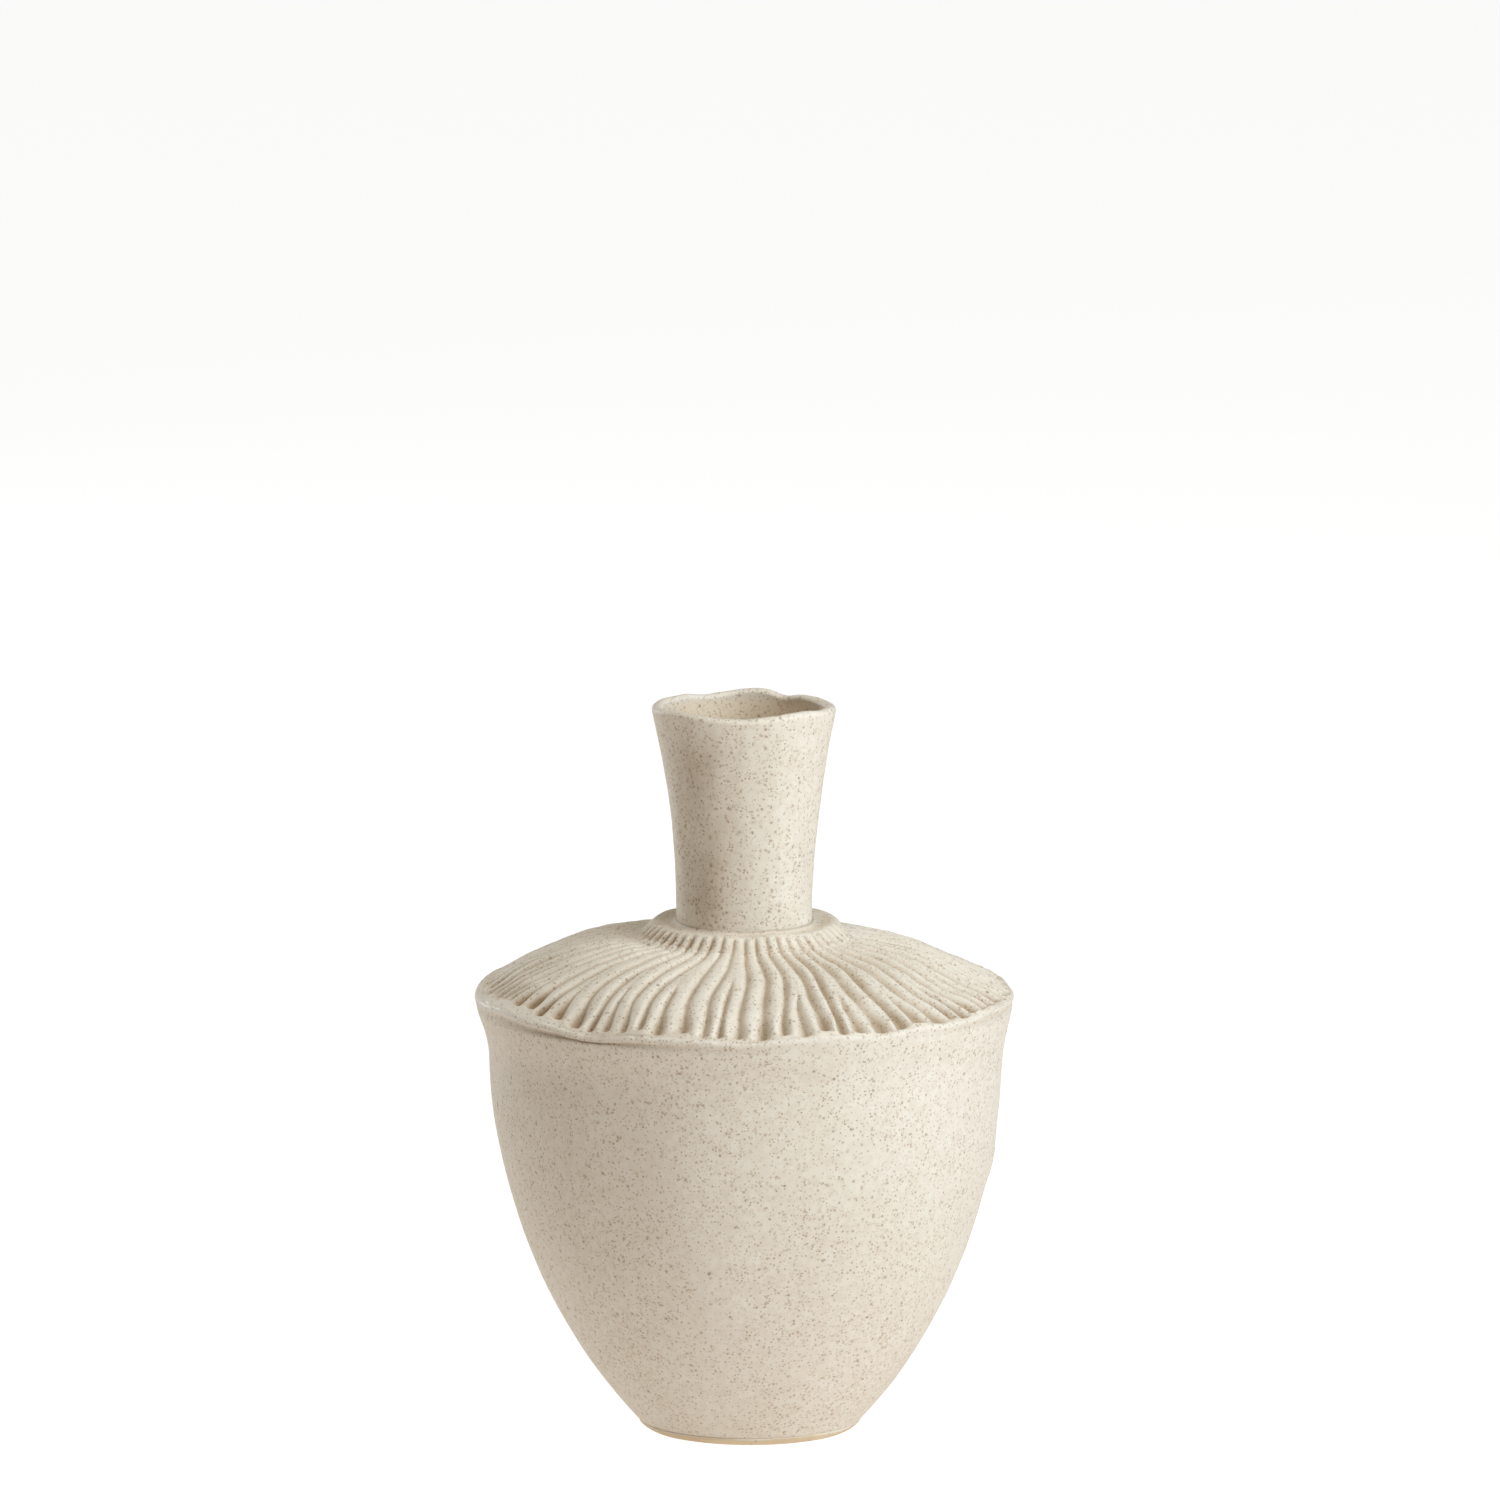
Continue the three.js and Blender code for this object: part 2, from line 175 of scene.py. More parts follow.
def bend(a, corner, b, count):
    """A rounded corner from a to b."""
    t = np.linspace(0.0, 1.0, count)[:, None]
    a, corner, b = (np.array(p, float) for p in (a, corner, b))
    return (1 - t) ** 2 * a + 2 * (1 - t) * t * corner + t**2 * b


def line(a, b, count):
    """Points between a and b, without either end."""
    t = np.linspace(0.0, 1.0, count + 2)[1:-1, None]
    return np.array(a, float) * (1 - t) + np.array(b, float) * t


def outline(*parts):
    return np.vstack(parts)


def heading_of(path):
    """Unit direction of travel at every point of an outline."""
    step = np.gradient(path, axis=0)
    return step / np.linalg.norm(step, axis=1)[:, None]


def offset(path, thickness):
    """The path moved to its left by a thickness."""
    step = heading_of(path)
    return path + thickness * np.column_stack([-step[:, 1], step[:, 0]])


def sink(path, r, z, depth):
    """Moves a grid of rows inwards, square to the outline, by a depth."""
    step = heading_of(path)
    return r + depth * step[:, 1:], z - depth * step[:, :1]


def wander(r, z, degrees, size, seed):
    """Smooth unevenness between about -1 and 1 over the surface; size is how far apart its dents are."""
    waves = 9
    turn = np.radians(degrees)
    spot = np.stack(np.broadcast_arrays(r * np.cos(turn), r * np.sin(turn), z), -1)
    rng = np.random.default_rng(seed)
    total = 0.0
    for _ in range(waves):
        heading = rng.normal(size=3)
        heading *= rng.uniform(0.6, 1.5) * math.pi / size / np.linalg.norm(heading)
        total = total + np.sin(spot @ heading + rng.uniform(0, 2 * math.pi))
    return total / math.sqrt(waves)


def lean_at(z):
    """How far the axis leans to the side: evenly up to the rim, and no more above it."""
    return LEAN * np.clip(z / RIM_Z, 0.0, 1.0)


# ---- grooves of the shoulder, placed as the solid has them ----
groove_number = np.arange(GROOVES)
short_share = (GROOVES - LONG_GROOVES) / GROOVES
is_short = np.floor((groove_number + 1) * short_share) > np.floor(groove_number * short_share)
short_start = LAND_R + (EDGE_R - LAND_R) * (0.44 + 0.17 * np.sin(2.3 * groove_number))

# shares of the way across one groove: a column of points stands at each
COLUMNS = np.array([0.0, 0.1, 0.19, 0.27, 0.34, 0.42, 0.5, 0.58, 0.66, 0.73, 0.81, 0.9])


def ridges(r):
    """Degrees of the middle of every ridge at this radius, with the first again at the end."""
    i = groove_number
    uneven = 0.16 * np.sin(2.1 * i) + 0.16 * np.sin(0.83 * i + 1)
    width = 1 + uneven * ease((r - LAND_R) / (45 * MM))
    opening = 0.1 + 0.9 * ease((r - short_start + 16 * MM) / (40 * MM))
    width = np.where(is_short, width * opening, width)
    starts = -93 + FULL_TURN * np.concatenate([[0], np.cumsum(width)]) / width.sum()
    number = np.arange(GROOVES + 1) % GROOVES
    return starts + 1.3 * ease((r - LAND_R) / (30 * MM)) * np.sin(r / (26 * MM) + 0.3 * number)


def shivering_ridges(r):
    """The ridges of the visible shoulder, which shiver a little as they run outwards."""
    number = np.arange(GROOVES + 1) % GROOVES
    shiver = 0.30 * np.sin(r / (5.5 * MM) + 1.9 * number)
    return ridges(r) + shiver * ease((r - LAND_R) / (8 * MM))


def across_grooves(bounds):
    """Degrees of every column: the same shares of the way across each groove."""
    width = np.diff(bounds)
    return (bounds[:-1, None] + COLUMNS * width[:, None]).ravel()


def valley(share, near_side, far_side):
    """1 in the crevice between two gills and 0 on their rounded crests; the far side is the gentler one."""
    across = 2 * (share - 0.5)
    near_slope = (1 + np.minimum(across, 0)) ** near_side
    far_slope = (1 - np.maximum(across, 0)) ** far_side
    return np.where(across < 0, near_slope, far_slope)


# ---- meshes ----
def skin_map(r, z, degrees, row, column, closed, panels):
    """The skin's own map. Its columns are folded into panels, one above the other, so texture is even."""
    middle = np.column_stack([r.mean(1), z.mean(1)])
    if closed:
        middle = np.vstack([middle, middle[:1]])
    length = np.concatenate([[0], np.cumsum(np.linalg.norm(np.diff(middle, axis=0), axis=1))])
    length /= length[-1]
    per_panel = math.ceil(r.shape[1] / panels)
    panel, within = np.divmod(column, per_panel)
    used = 1 - 2 * MAP_MARGIN
    left = MAP_MARGIN + used * within / per_panel
    right = MAP_MARGIN + used * (within + 1) / per_panel
    low = (panel + MAP_MARGIN + used * length[row]) / panels
    high = (panel + MAP_MARGIN + used * length[row + 1]) / panels
    uv = np.stack([left, low, right, low, right, high, left, high], -1).reshape(-1, 2)
    if closed:
        return uv
    turn = np.radians(degrees[0])
    round_end = 0.5 + 0.01 * np.column_stack([np.cos(turn), np.sin(turn)])
    return np.vstack([uv, round_end, round_end])


def skin(name, r, z, degrees, material, closed=True, marks=None, panels=2):
    """A closed body from a grid of radius, height and angle: rows follow the outline, columns go round.

    A closed outline joins its last row to its first. An open one gets a small flat face at each end. Marks
    are values at every point, which the materials read.
    """
    rows, columns = r.shape
    degrees = np.broadcast_to(degrees, r.shape)
    turn = np.radians(degrees)
    points = np.stack([r * np.cos(turn) + lean_at(z), r * np.sin(turn), z], -1).reshape(-1, 3)
    steps = rows if closed else rows - 1
    row, column = np.divmod(np.arange(steps * columns), columns)
    beside = (column + 1) % columns
    above = (row + 1) % rows
    faces = np.column_stack(
        [row * columns + column, row * columns + beside, above * columns + beside, above * columns + column]
    )
    corners = faces.ravel()
    starts = np.arange(len(faces)) * 4
    if not closed:
        for end in (np.arange(columns)[::-1], (rows - 1) * columns + np.arange(columns)):
            starts = np.append(starts, len(corners))
            corners = np.append(corners, end)
    mesh = bpy.data.meshes.new(name)
    mesh.vertices.add(len(points))
    mesh.vertices.foreach_set("co", points.ravel())
    mesh.loops.add(len(corners))
    mesh.loops.foreach_set("vertex_index", corners.astype(np.int32))
    mesh.polygons.add(len(starts))
    mesh.polygons.foreach_set("loop_start", starts.astype(np.int32))
    mesh.polygons.foreach_set("use_smooth", np.ones(len(starts), bool))
    mesh.update(calc_edges=True)

    uv = skin_map(r, z, degrees, row, column, closed, panels)
    mesh.uv_layers.new(name="OFBake").data.foreach_set("uv", uv.ravel())
    for mark, values in (marks or {}).items():
        layer = mesh.attributes.new(mark, "FLOAT", "POINT")
        layer.data.foreach_set("value", np.broadcast_to(values, r.shape).astype(np.float32).ravel())
    mesh.materials.append(material)
    piece = bpy.data.objects.new(name, mesh)
    bpy.context.scene.collection.objects.link(piece)
    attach(piece, "root")
    return piece


def spread(path, count):
    """Radius and height grids of an outline repeated in so many columns."""
    return np.repeat(path[:, :1], count, axis=1), np.repeat(path[:, 1:], count, axis=1)


def turned(path, count):
    """Radius and height grids of a plain turned outline, with its angles."""
    r, z = spread(path, count)
    return r, z, -90 + FULL_TURN * np.arange(count) / count


# ---- node helpers ----
# places of the colour sockets on a Mix node
MIX_FACTOR, MIX_BASE, MIX_OVER, MIX_RESULT = 0, 6, 7, 2


def feed(tree, socket, value):
    """Joins a socket to another node's output, or sets it to a number or colour."""
    if isinstance(value, bpy.types.NodeSocket):
        tree.links.new(value, socket)
    else:
        socket.default_value = value


def place(tree, kind, settings=None, **inputs):
    """A node with its settings, and its inputs fed by name."""
    node = tree.nodes.new(kind)
    for name, value in (settings or {}).items():
        setattr(node, name, value)
    for name, value in inputs.items():
        feed(tree, node.inputs[name.replace("_", " ")], value)
    return node


def use_group(tree, group, **inputs):
    return place(tree, "ShaderNodeGroup", {"node_tree": group}, **inputs)


def mark(tree, name):
    return place(tree, "ShaderNodeAttribute", {"attribute_name": name}).outputs["Fac"]


def math_node(tree, operation, a, b=0.0, clamp=False):
    node = place(tree, "ShaderNodeMath", {"operation": operation, "use_clamp": clamp})
    for socket, value in zip(node.inputs, (a, b)):
        feed(tree, socket, value)
    return node.outputs[0]


def times(tree, a, b):
    return math_node(tree, "MULTIPLY", a, b)


def vector_math(tree, operation, a, b):
    """A sum or product of two vectors, or a vector scaled by a number."""
    node = place(tree, "ShaderNodeVectorMath", {"operation": operation})
    feed(tree, node.inputs[0], a)
    feed(tree, node.inputs["Scale"] if operation == "SCALE" else node.inputs[1], b)
    return node.outputs[0]


def ramp(tree, value, low, high, to_low=0.0, to_high=1.0):
    """Value mapped smoothly from low..high to to_low..to_high."""
    node = place(tree, "ShaderNodeMapRange", {"interpolation_type": "SMOOTHSTEP"}, Value=value)
    for name, number in zip(("From Min", "From Max", "To Min", "To Max"), (low, high, to_low, to_high)):
        feed(tree, node.inputs[name], number)
    return node.outputs["Result"]


def tint(tree, factor, base, over, blend="MIX"):
    """Colour over laid on base by factor."""
    node = place(tree, "ShaderNodeMix", {"data_type": "RGBA", "blend_type": blend})
    for index, value in ((MIX_FACTOR, factor), (MIX_BASE, base), (MIX_OVER, over)):
        feed(tree, node.inputs[index], value)
    return node.outputs[MIX_RESULT]


def noise(tree, vector, scale, detail=2.0, roughness=0.5):
    return place(tree, "ShaderNodeTexNoise", Vector=vector, Scale=scale, Detail=detail, Roughness=roughness)


def cell_scatter(tree, vector, scale):
    """Distance from the middle of the nearest cell, and three chances that are the same all over it."""
    cells = place(tree, "ShaderNodeTexVoronoi", Vector=vector, Scale=scale)
    chance = tree.nodes.new("ShaderNodeSeparateColor")
    tree.links.new(cells.outputs["Color"], chance.inputs[0])
    return cells.outputs["Distance"], chance.outputs


def new_group(name, inputs, outputs):
    """An empty shader group with float and vector inputs and float outputs."""
    tree = bpy.data.node_groups.new(name, "ShaderNodeTree")
    for socket, kind, value in inputs:
        made = tree.interface.new_socket(socket, in_out="INPUT", socket_type=kind)
        if value is not None:
            made.default_value = value
    for socket in outputs:
        tree.interface.new_socket(socket, in_out="OUTPUT", socket_type="NodeSocketFloat")
    return tree, tree.nodes.new("NodeGroupInput").outputs, tree.nodes.new("NodeGroupOutput").inputs


FLOAT = "NodeSocketFloat"
VECTOR = "NodeSocketVector"


# ---- shared effects ----
def iron_speckle_group():
    """Specks of iron that bleed through the glaze: each cell of a scatter may hold one speck of its own size.

    Speck size is a share of a cell's width. Specks gather in patches, and their outlines wobble.
    """
    tree, given, out = new_group(
        "iron_speckle",
        [("Vector", VECTOR, None), ("Cells per metre", FLOAT, 500.0), ("Share of cells", FLOAT, 0.3),
         ("Speck size", FLOAT, 0.3), ("Patch scale", FLOAT, 25.0)],
        ["Specks", "Bleed"],
    )
    spot = given["Vector"]
    wobble = noise(tree, spot, scale=900.0, detail=1.0).outputs["Color"]
    moved = vector_math(tree, "ADD", spot, vector_math(tree, "SCALE", wobble, 0.9 * MM))
    distance, chance = cell_scatter(tree, moved, given["Cells per metre"])
    patches = noise(tree, spot, given["Patch scale"]).outputs[0]
    crowding = ramp(tree, patches, 0.3, 0.7, 0.45, 1.5)
    holds_one = math_node(tree, "LESS_THAN", chance[0], times(tree, given["Share of cells"], crowding))
    own_size = times(tree, given["Speck size"], ramp(tree, chance[1], 0.0, 1.0, 0.45, 1.25))
    strength = ramp(tree, chance[2], 0.0, 1.0, 0.35, 1.0)
    inner = times(tree, own_size, 0.55)
    core = ramp(tree, distance, inner, own_size, 1.0, 0.0)
    halo = ramp(tree, distance, inner, times(tree, own_size, 1.9), 1.0, 0.0)
    for shade, name in ((core, "Specks"), (halo, "Bleed")):
        tree.links.new(times(tree, times(tree, shade, holds_one), strength), out[name])
    return tree


def glaze_pooling_group():
    """Where the glaze runs thick or thin: broad clouds drawn out downwards, small mottles, a fine blush."""
    tree, given, out = new_group(
        "glaze_pooling",
        [("Vector", VECTOR, None), ("Cloud scale", FLOAT, 16.0), ("Mottle scale", FLOAT, 120.0),
         ("Blush scale", FLOAT, 300.0)],
        ["Clouds", "Mottle", "Blush"],
    )
    spot = given["Vector"]
    drawn_out = vector_math(tree, "MULTIPLY", spot, (1.0, 1.0, 0.55))
    clouds = noise(tree, drawn_out, given["Cloud scale"], detail=3.0).outputs[0]
    mottle = noise(tree, spot, given["Mottle scale"], detail=4.0, roughness=0.6).outputs[0]
    blush = noise(tree, spot, given["Blush scale"], detail=3.0, roughness=0.6).outputs[0]
    tree.links.new(ramp(tree, clouds, 0.32, 0.68), out["Clouds"])
    tree.links.new(ramp(tree, mottle, 0.3, 0.7), out["Mottle"])
    tree.links.new(ramp(tree, blush, 0.36, 0.64), out["Blush"])
    return tree


def clay_grain_group():
    """Height of a fired surface: fine grog, a soft orange-peel of the glaze and scattered pinholes."""
    tree, given, out = new_group(
        "clay_grain",
        [("Vector", VECTOR, None), ("Grog", FLOAT, 0.4), ("Peel", FLOAT, 0.5), ("Pinholes", FLOAT, 0.5)],
        ["Height"],
    )
    spot = given["Vector"]
    grog = noise(tree, spot, scale=1500.0, roughness=0.6).outputs[0]
    peel = noise(tree, spot, scale=330.0).outputs[0]
    distance, chance = cell_scatter(tree, spot, 240.0)
    here = math_node(tree, "LESS_THAN", chance[0], 0.16)
    hole = times(tree, ramp(tree, distance, 0.04, 0.12, 1.0, 0.0), here)
    height = math_node(tree, "ADD", times(tree, grog, given["Grog"]), times(tree, peel, given["Peel"]))
    height = math_node(tree, "SUBTRACT", height, times(tree, hole, given["Pinholes"]))
    tree.links.new(height, out["Height"])
    return tree


speckle_group = iron_speckle_group()
pooling_group = glaze_pooling_group()
grain_group = clay_grain_group()

# ---- finishes ----
CREAM = (0.850, 0.795, 0.697, 1.0)
WARM_CREAM = (0.775, 0.690, 0.570, 1.0)
PALE_CREAM = (0.910, 0.875, 0.805, 1.0)
# colour of the painted warm glow inside the neck
PAINTED_GLOW_GOLD = (0.900, 0.735, 0.530, 1.0)
BLUSH = (0.935, 0.902, 0.882, 1.0)
# brown of thin glaze, also used for painted shade
THIN_GLAZE_AND_SHADE_BROWN = (0.440, 0.325, 0.210, 1.0)
IRON = (0.150, 0.085, 0.050, 1.0)
IRON_BLEED = (0.470, 0.330, 0.215, 1.0)
IRON_DUST = (0.600, 0.490, 0.390, 1.0)
TOASTED = (0.800, 0.665, 0.460, 1.0)
TOASTED_DARK = (0.690, 0.530, 0.345, 1.0)
BARE_CLAY = (0.560, 0.465, 0.340, 1.0)

# three scatters of iron: how closely it lies, how much of a cell a speck fills, and how fine its patches are
DUST = {"Cells_per_metre": 880.0, "Speck_size": 0.42, "Patch_scale": 34.0}
FINE_IRON = {"Cells_per_metre": 520.0, "Speck_size": 0.31}
COARSE_IRON = {"Cells_per_metre": 250.0, "Speck_size": 0.18, "Patch_scale": 14.0}
CLAY_IRON = {"Cells_per_metre": 420.0, "Speck_size": 0.3, "Share_of_cells": 0.3}

# how strongly each layer colours the glaze, from the ground up
CLOUD_STRENGTH = 0.45
MOTTLE_STRENGTH = 0.30
BLUSH_STRENGTH = 0.75
# strength of the painted highlight on crests, edges and the lip
PAINTED_HIGHLIGHT_STRENGTH = 0.6
# strength of the painted warm glow inside the neck
PAINTED_GLOW_STRENGTH = 0.50
DUST_STRENGTH = 0.9
BLEED_STRENGTH = 0.22
FINE_STRENGTH = 0.52
COARSE_STRENGTH = 0.48

GLAZE_ROUGHNESS = (0.50, 0.62)
SPECK_ROUGHNESS = 0.12
CLAY_ROUGHNESS = (0.80, 0.92)


def new_material(name):
    """A material with an empty shader, and the object's own coordinates."""
    material = bpy.data.materials.new(name)
    material.use_nodes = True
    tree = material.node_tree
    tree.nodes.clear()
    surface = tree.nodes.new("ShaderNodeBsdfPrincipled")
    result = tree.nodes.new("ShaderNodeOutputMaterial")
    tree.links.new(surface.outputs[0], result.inputs["Surface"])
    spot = place(tree, "ShaderNodeTexCoord").outputs["Object"]
    return material, tree, surface.inputs, spot


def add_grain(tree, surface, grain, strength, distance):
    """Bumps the surface by the height of its grain."""
    bump = place(tree, "ShaderNodeBump", Height=grain.outputs["Height"], Strength=strength, Distance=distance)
    tree.links.new(bump.outputs[0], surface["Normal"])


def speckled_glaze(name, dust_share, fine_share, coarse_share, brown):
    """Satin cream glaze: brown where the "cut" mark is deep, which is partly thin glaze and partly painted
    shade; pale by the mark for wear and highlight, which on glaze is a painted highlight; golden where
    "warm", a painted warm glow.
    """
    material, tree, surface, spot = new_material(name)
    pooling = use_group(tree, pooling_group, Vector=spot).outputs
    dust = use_group(tree, speckle_group, Vector=spot, Share_of_cells=dust_share, **DUST).outputs
    fine = use_group(tree, speckle_group, Vector=spot, Share_of_cells=fine_share, **FINE_IRON).outputs
    coarse = use_group(tree, speckle_group, Vector=spot, Share_of_cells=coarse_share, **COARSE_IRON).outputs
    grain = use_group(tree, grain_group, Vector=spot)
    bleed = math_node(tree, "MAXIMUM", fine["Bleed"], coarse["Bleed"])
    pale_wear_and_highlight = math_node(tree, "MULTIPLY", mark(tree, "pale_wear_and_highlight"), PAINTED_HIGHLIGHT_STRENGTH, clamp=True)
    layers = [
        (times(tree, pooling["Clouds"], CLOUD_STRENGTH), WARM_CREAM, "MIX"),
        (times(tree, pooling["Mottle"], MOTTLE_STRENGTH), PALE_CREAM, "MIX"),
        (times(tree, pooling["Blush"], BLUSH_STRENGTH), BLUSH, "MULTIPLY"),
        # pale on crests, the shoulder's edge and the lip: a painted highlight
        (pale_wear_and_highlight, PALE_CREAM, "MIX"),
        # golden where "warm": a painted warm glow of light thrown about inside the neck
        (times(tree, mark(tree, "warm"), PAINTED_GLOW_STRENGTH), PAINTED_GLOW_GOLD, "MIX"),
        # the "cut" mark browns thin glaze, and also paints shade in recesses, under the shoulder's edge and
        # on the left sides of the shoulder, ring and neck
        (times(tree, mark(tree, "cut"), brown), THIN_GLAZE_AND_SHADE_BROWN, "MIX"),
        (times(tree, dust["Specks"], DUST_STRENGTH), IRON_DUST, "MULTIPLY"),
        (times(tree, bleed, BLEED_STRENGTH), IRON_BLEED, "MULTIPLY"),
        (times(tree, fine["Specks"], FINE_STRENGTH), IRON_BLEED, "MULTIPLY"),
        (times(tree, coarse["Specks"], COARSE_STRENGTH), IRON, "MIX"),
    ]
    colour = CREAM
    for factor, over, blend in layers:
        colour = tint(tree, factor, colour, over, blend)
    tree.links.new(colour, surface["Base Color"])
    rough = ramp(tree, pooling["Mottle"], 0.0, 1.0, *GLAZE_ROUGHNESS)
    rough = math_node(tree, "ADD", rough, times(tree, coarse["Specks"], SPECK_ROUGHNESS), clamp=True)
    tree.links.new(rough, surface["Roughness"])
    add_grain(tree, surface, grain, strength=0.35, distance=0.12 * MM)
    surface["Specular IOR Level"].default_value = 0.35
    return material


def bare_clay(name, light_clay, dark_clay, cloud_scale, rub):
    """Unglazed clay: tan, patchy and gritty, and paler by rub where its "raised" mark is."""
    material, tree, surface, spot = new_material(name)
    pooling = use_group(tree, pooling_group, Vector=spot, Cloud_scale=cloud_scale, Mottle_scale=260.0).outputs
    specks = use_group(tree, speckle_group, Vector=spot, **CLAY_IRON).outputs
    grain = use_group(tree, grain_group, Vector=spot, Grog=1.0, Peel=0.3, Pinholes=0.8)
    colour = tint(tree, pooling["Clouds"], light_clay, dark_clay)
    colour = tint(tree, times(tree, pooling["Mottle"], MOTTLE_STRENGTH), colour, WARM_CREAM)
    colour = tint(tree, times(tree, mark(tree, "pale_wear_and_highlight"), rub), colour, PALE_CREAM)
    colour = tint(tree, times(tree, specks["Specks"], 0.6), colour, IRON)
    tree.links.new(colour, surface["Base Color"])
    tree.links.new(ramp(tree, pooling["Mottle"], 0.0, 1.0, *CLAY_ROUGHNESS), surface["Roughness"])
    add_grain(tree, surface, grain, strength=0.6, distance=0.15 * MM)
    surface["Specular IOR Level"].default_value = 0.25
    return material


# shares of cells that hold dust, fine and coarse specks, and how brown the glaze turns by its "cut" mark,
# which is thin glaze and also painted shade
bowl_glaze = speckled_glaze("bowl_glaze", 0.95, 0.42, 0.14, brown=0.5)
shoulder_glaze = speckled_glaze("shoulder_glaze", 0.80, 0.36, 0.08, brown=0.9)
ring_glaze = speckled_glaze("ring_glaze", 0.85, 0.42, 0.12, brown=0.8)
neck_glaze = speckled_glaze("neck_glaze", 1.0, 0.60, 0.24, brown=0.5)
toasted_foot_clay = bare_clay("toasted_foot_clay", TOASTED, TOASTED_DARK, cloud_scale=30.0, rub=0.5)
bare_coil_clay = bare_clay("bare_coil_clay", BARE_CLAY, WARM_CREAM, cloud_scale=40.0, rub=0.0)


# ---- foot slab ----
def make_foot():
    """The base slab: a low boss above, a rounded bare edge below, worn where it stands on the table."""
    contact = FOOT_R - 4.6 * MM
    path = outline(
        line((0, 0), (contact - 1.5 * MM, 0), 14),
        bend((contact - 1.5 * MM, 0), (contact + 0.8 * MM, 0), (FOOT_R - 2.2 * MM, 1.1 * MM), 8),
        bend(
            (FOOT_R - 2.0 * MM, 1.25 * MM), (FOOT_R - 0.3 * MM, 2.4 * MM),
            (FOOT_R + 0.1 * MM, SEAT_Z - 0.15 * MM), 10,
        ),
        [(FOOT_R - 0.1 * MM, SEAT_Z - 0.02 * MM)],
        line((FOOT_R - 0.3 * MM, SEAT_Z), (BOSS_R, SEAT_Z), 4),
        line((BOSS_R, SEAT_Z + 0.2 * MM), (BOSS_R, FLOOR_Z), 4),
        [(BOSS_R, FLOOR_Z)],
        line((BOSS_R, FLOOR_Z), (0, FLOOR_Z), 12),
    )
    path[:, 0] = np.maximum(path[:, 0], MIDDLE_R)
    r, z, degrees = turned(path, FOOT_COLUMNS)
    rounded = (path[:, 0] > contact) & (path[:, 1] > 0.2 * MM) & (path[:, 1] < SEAT_Z - 0.6 * MM)
    r = r + rounded[:, None] * 0.18 * MM * wander(r, z, degrees, size=14 * MM, seed=3)
    under = (path[:, 1] < 0.05 * MM) & (path[:, 0] < contact - 4 * MM)
    z = z + under[:, None] * 0.12 * MM * (1 + wander(r, z, degrees, size=16 * MM, seed=5) * 0.4)
    worn = bell((path[:, 0] - contact) / (1.6 * MM)) * (path[:, 1] < 1.5 * MM)
    glaze_line = SEAT_Z * 0.70 + 0.25 * MM * wander(r, z, degrees, size=12 * MM, seed=6)
    dipped = 1.2 * ease((z - glaze_line) / (0.9 * MM)) * (r > contact)
    foot = skin(
        "foot_slab", r, z, degrees, toasted_foot_clay, closed=False,
        marks={"pale_wear_and_highlight": np.maximum(worn[:, None], dipped)},
    )
    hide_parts("foot_disc")


# ---- bowl ----
def wall_swell(degrees, z):
    """Soft facets all the way round and the swellings of the table, in metres."""
    upright = ease((z - 30 * MM) / (40 * MM)) * ease((RIM_Z - z) / (25 * MM))
    facets = 0.22 * np.sin(np.radians(7 * degrees + 40)) + 0.16 * np.sin(np.radians(11 * degrees + 110))
    total = upright * facets * MM
    for at, size, half, middle, half_height in WALL_SWELL:
        total = total + size * MM * bell(away(degrees, at) / half) * bell((z / MM - middle) / half_height)
    return total


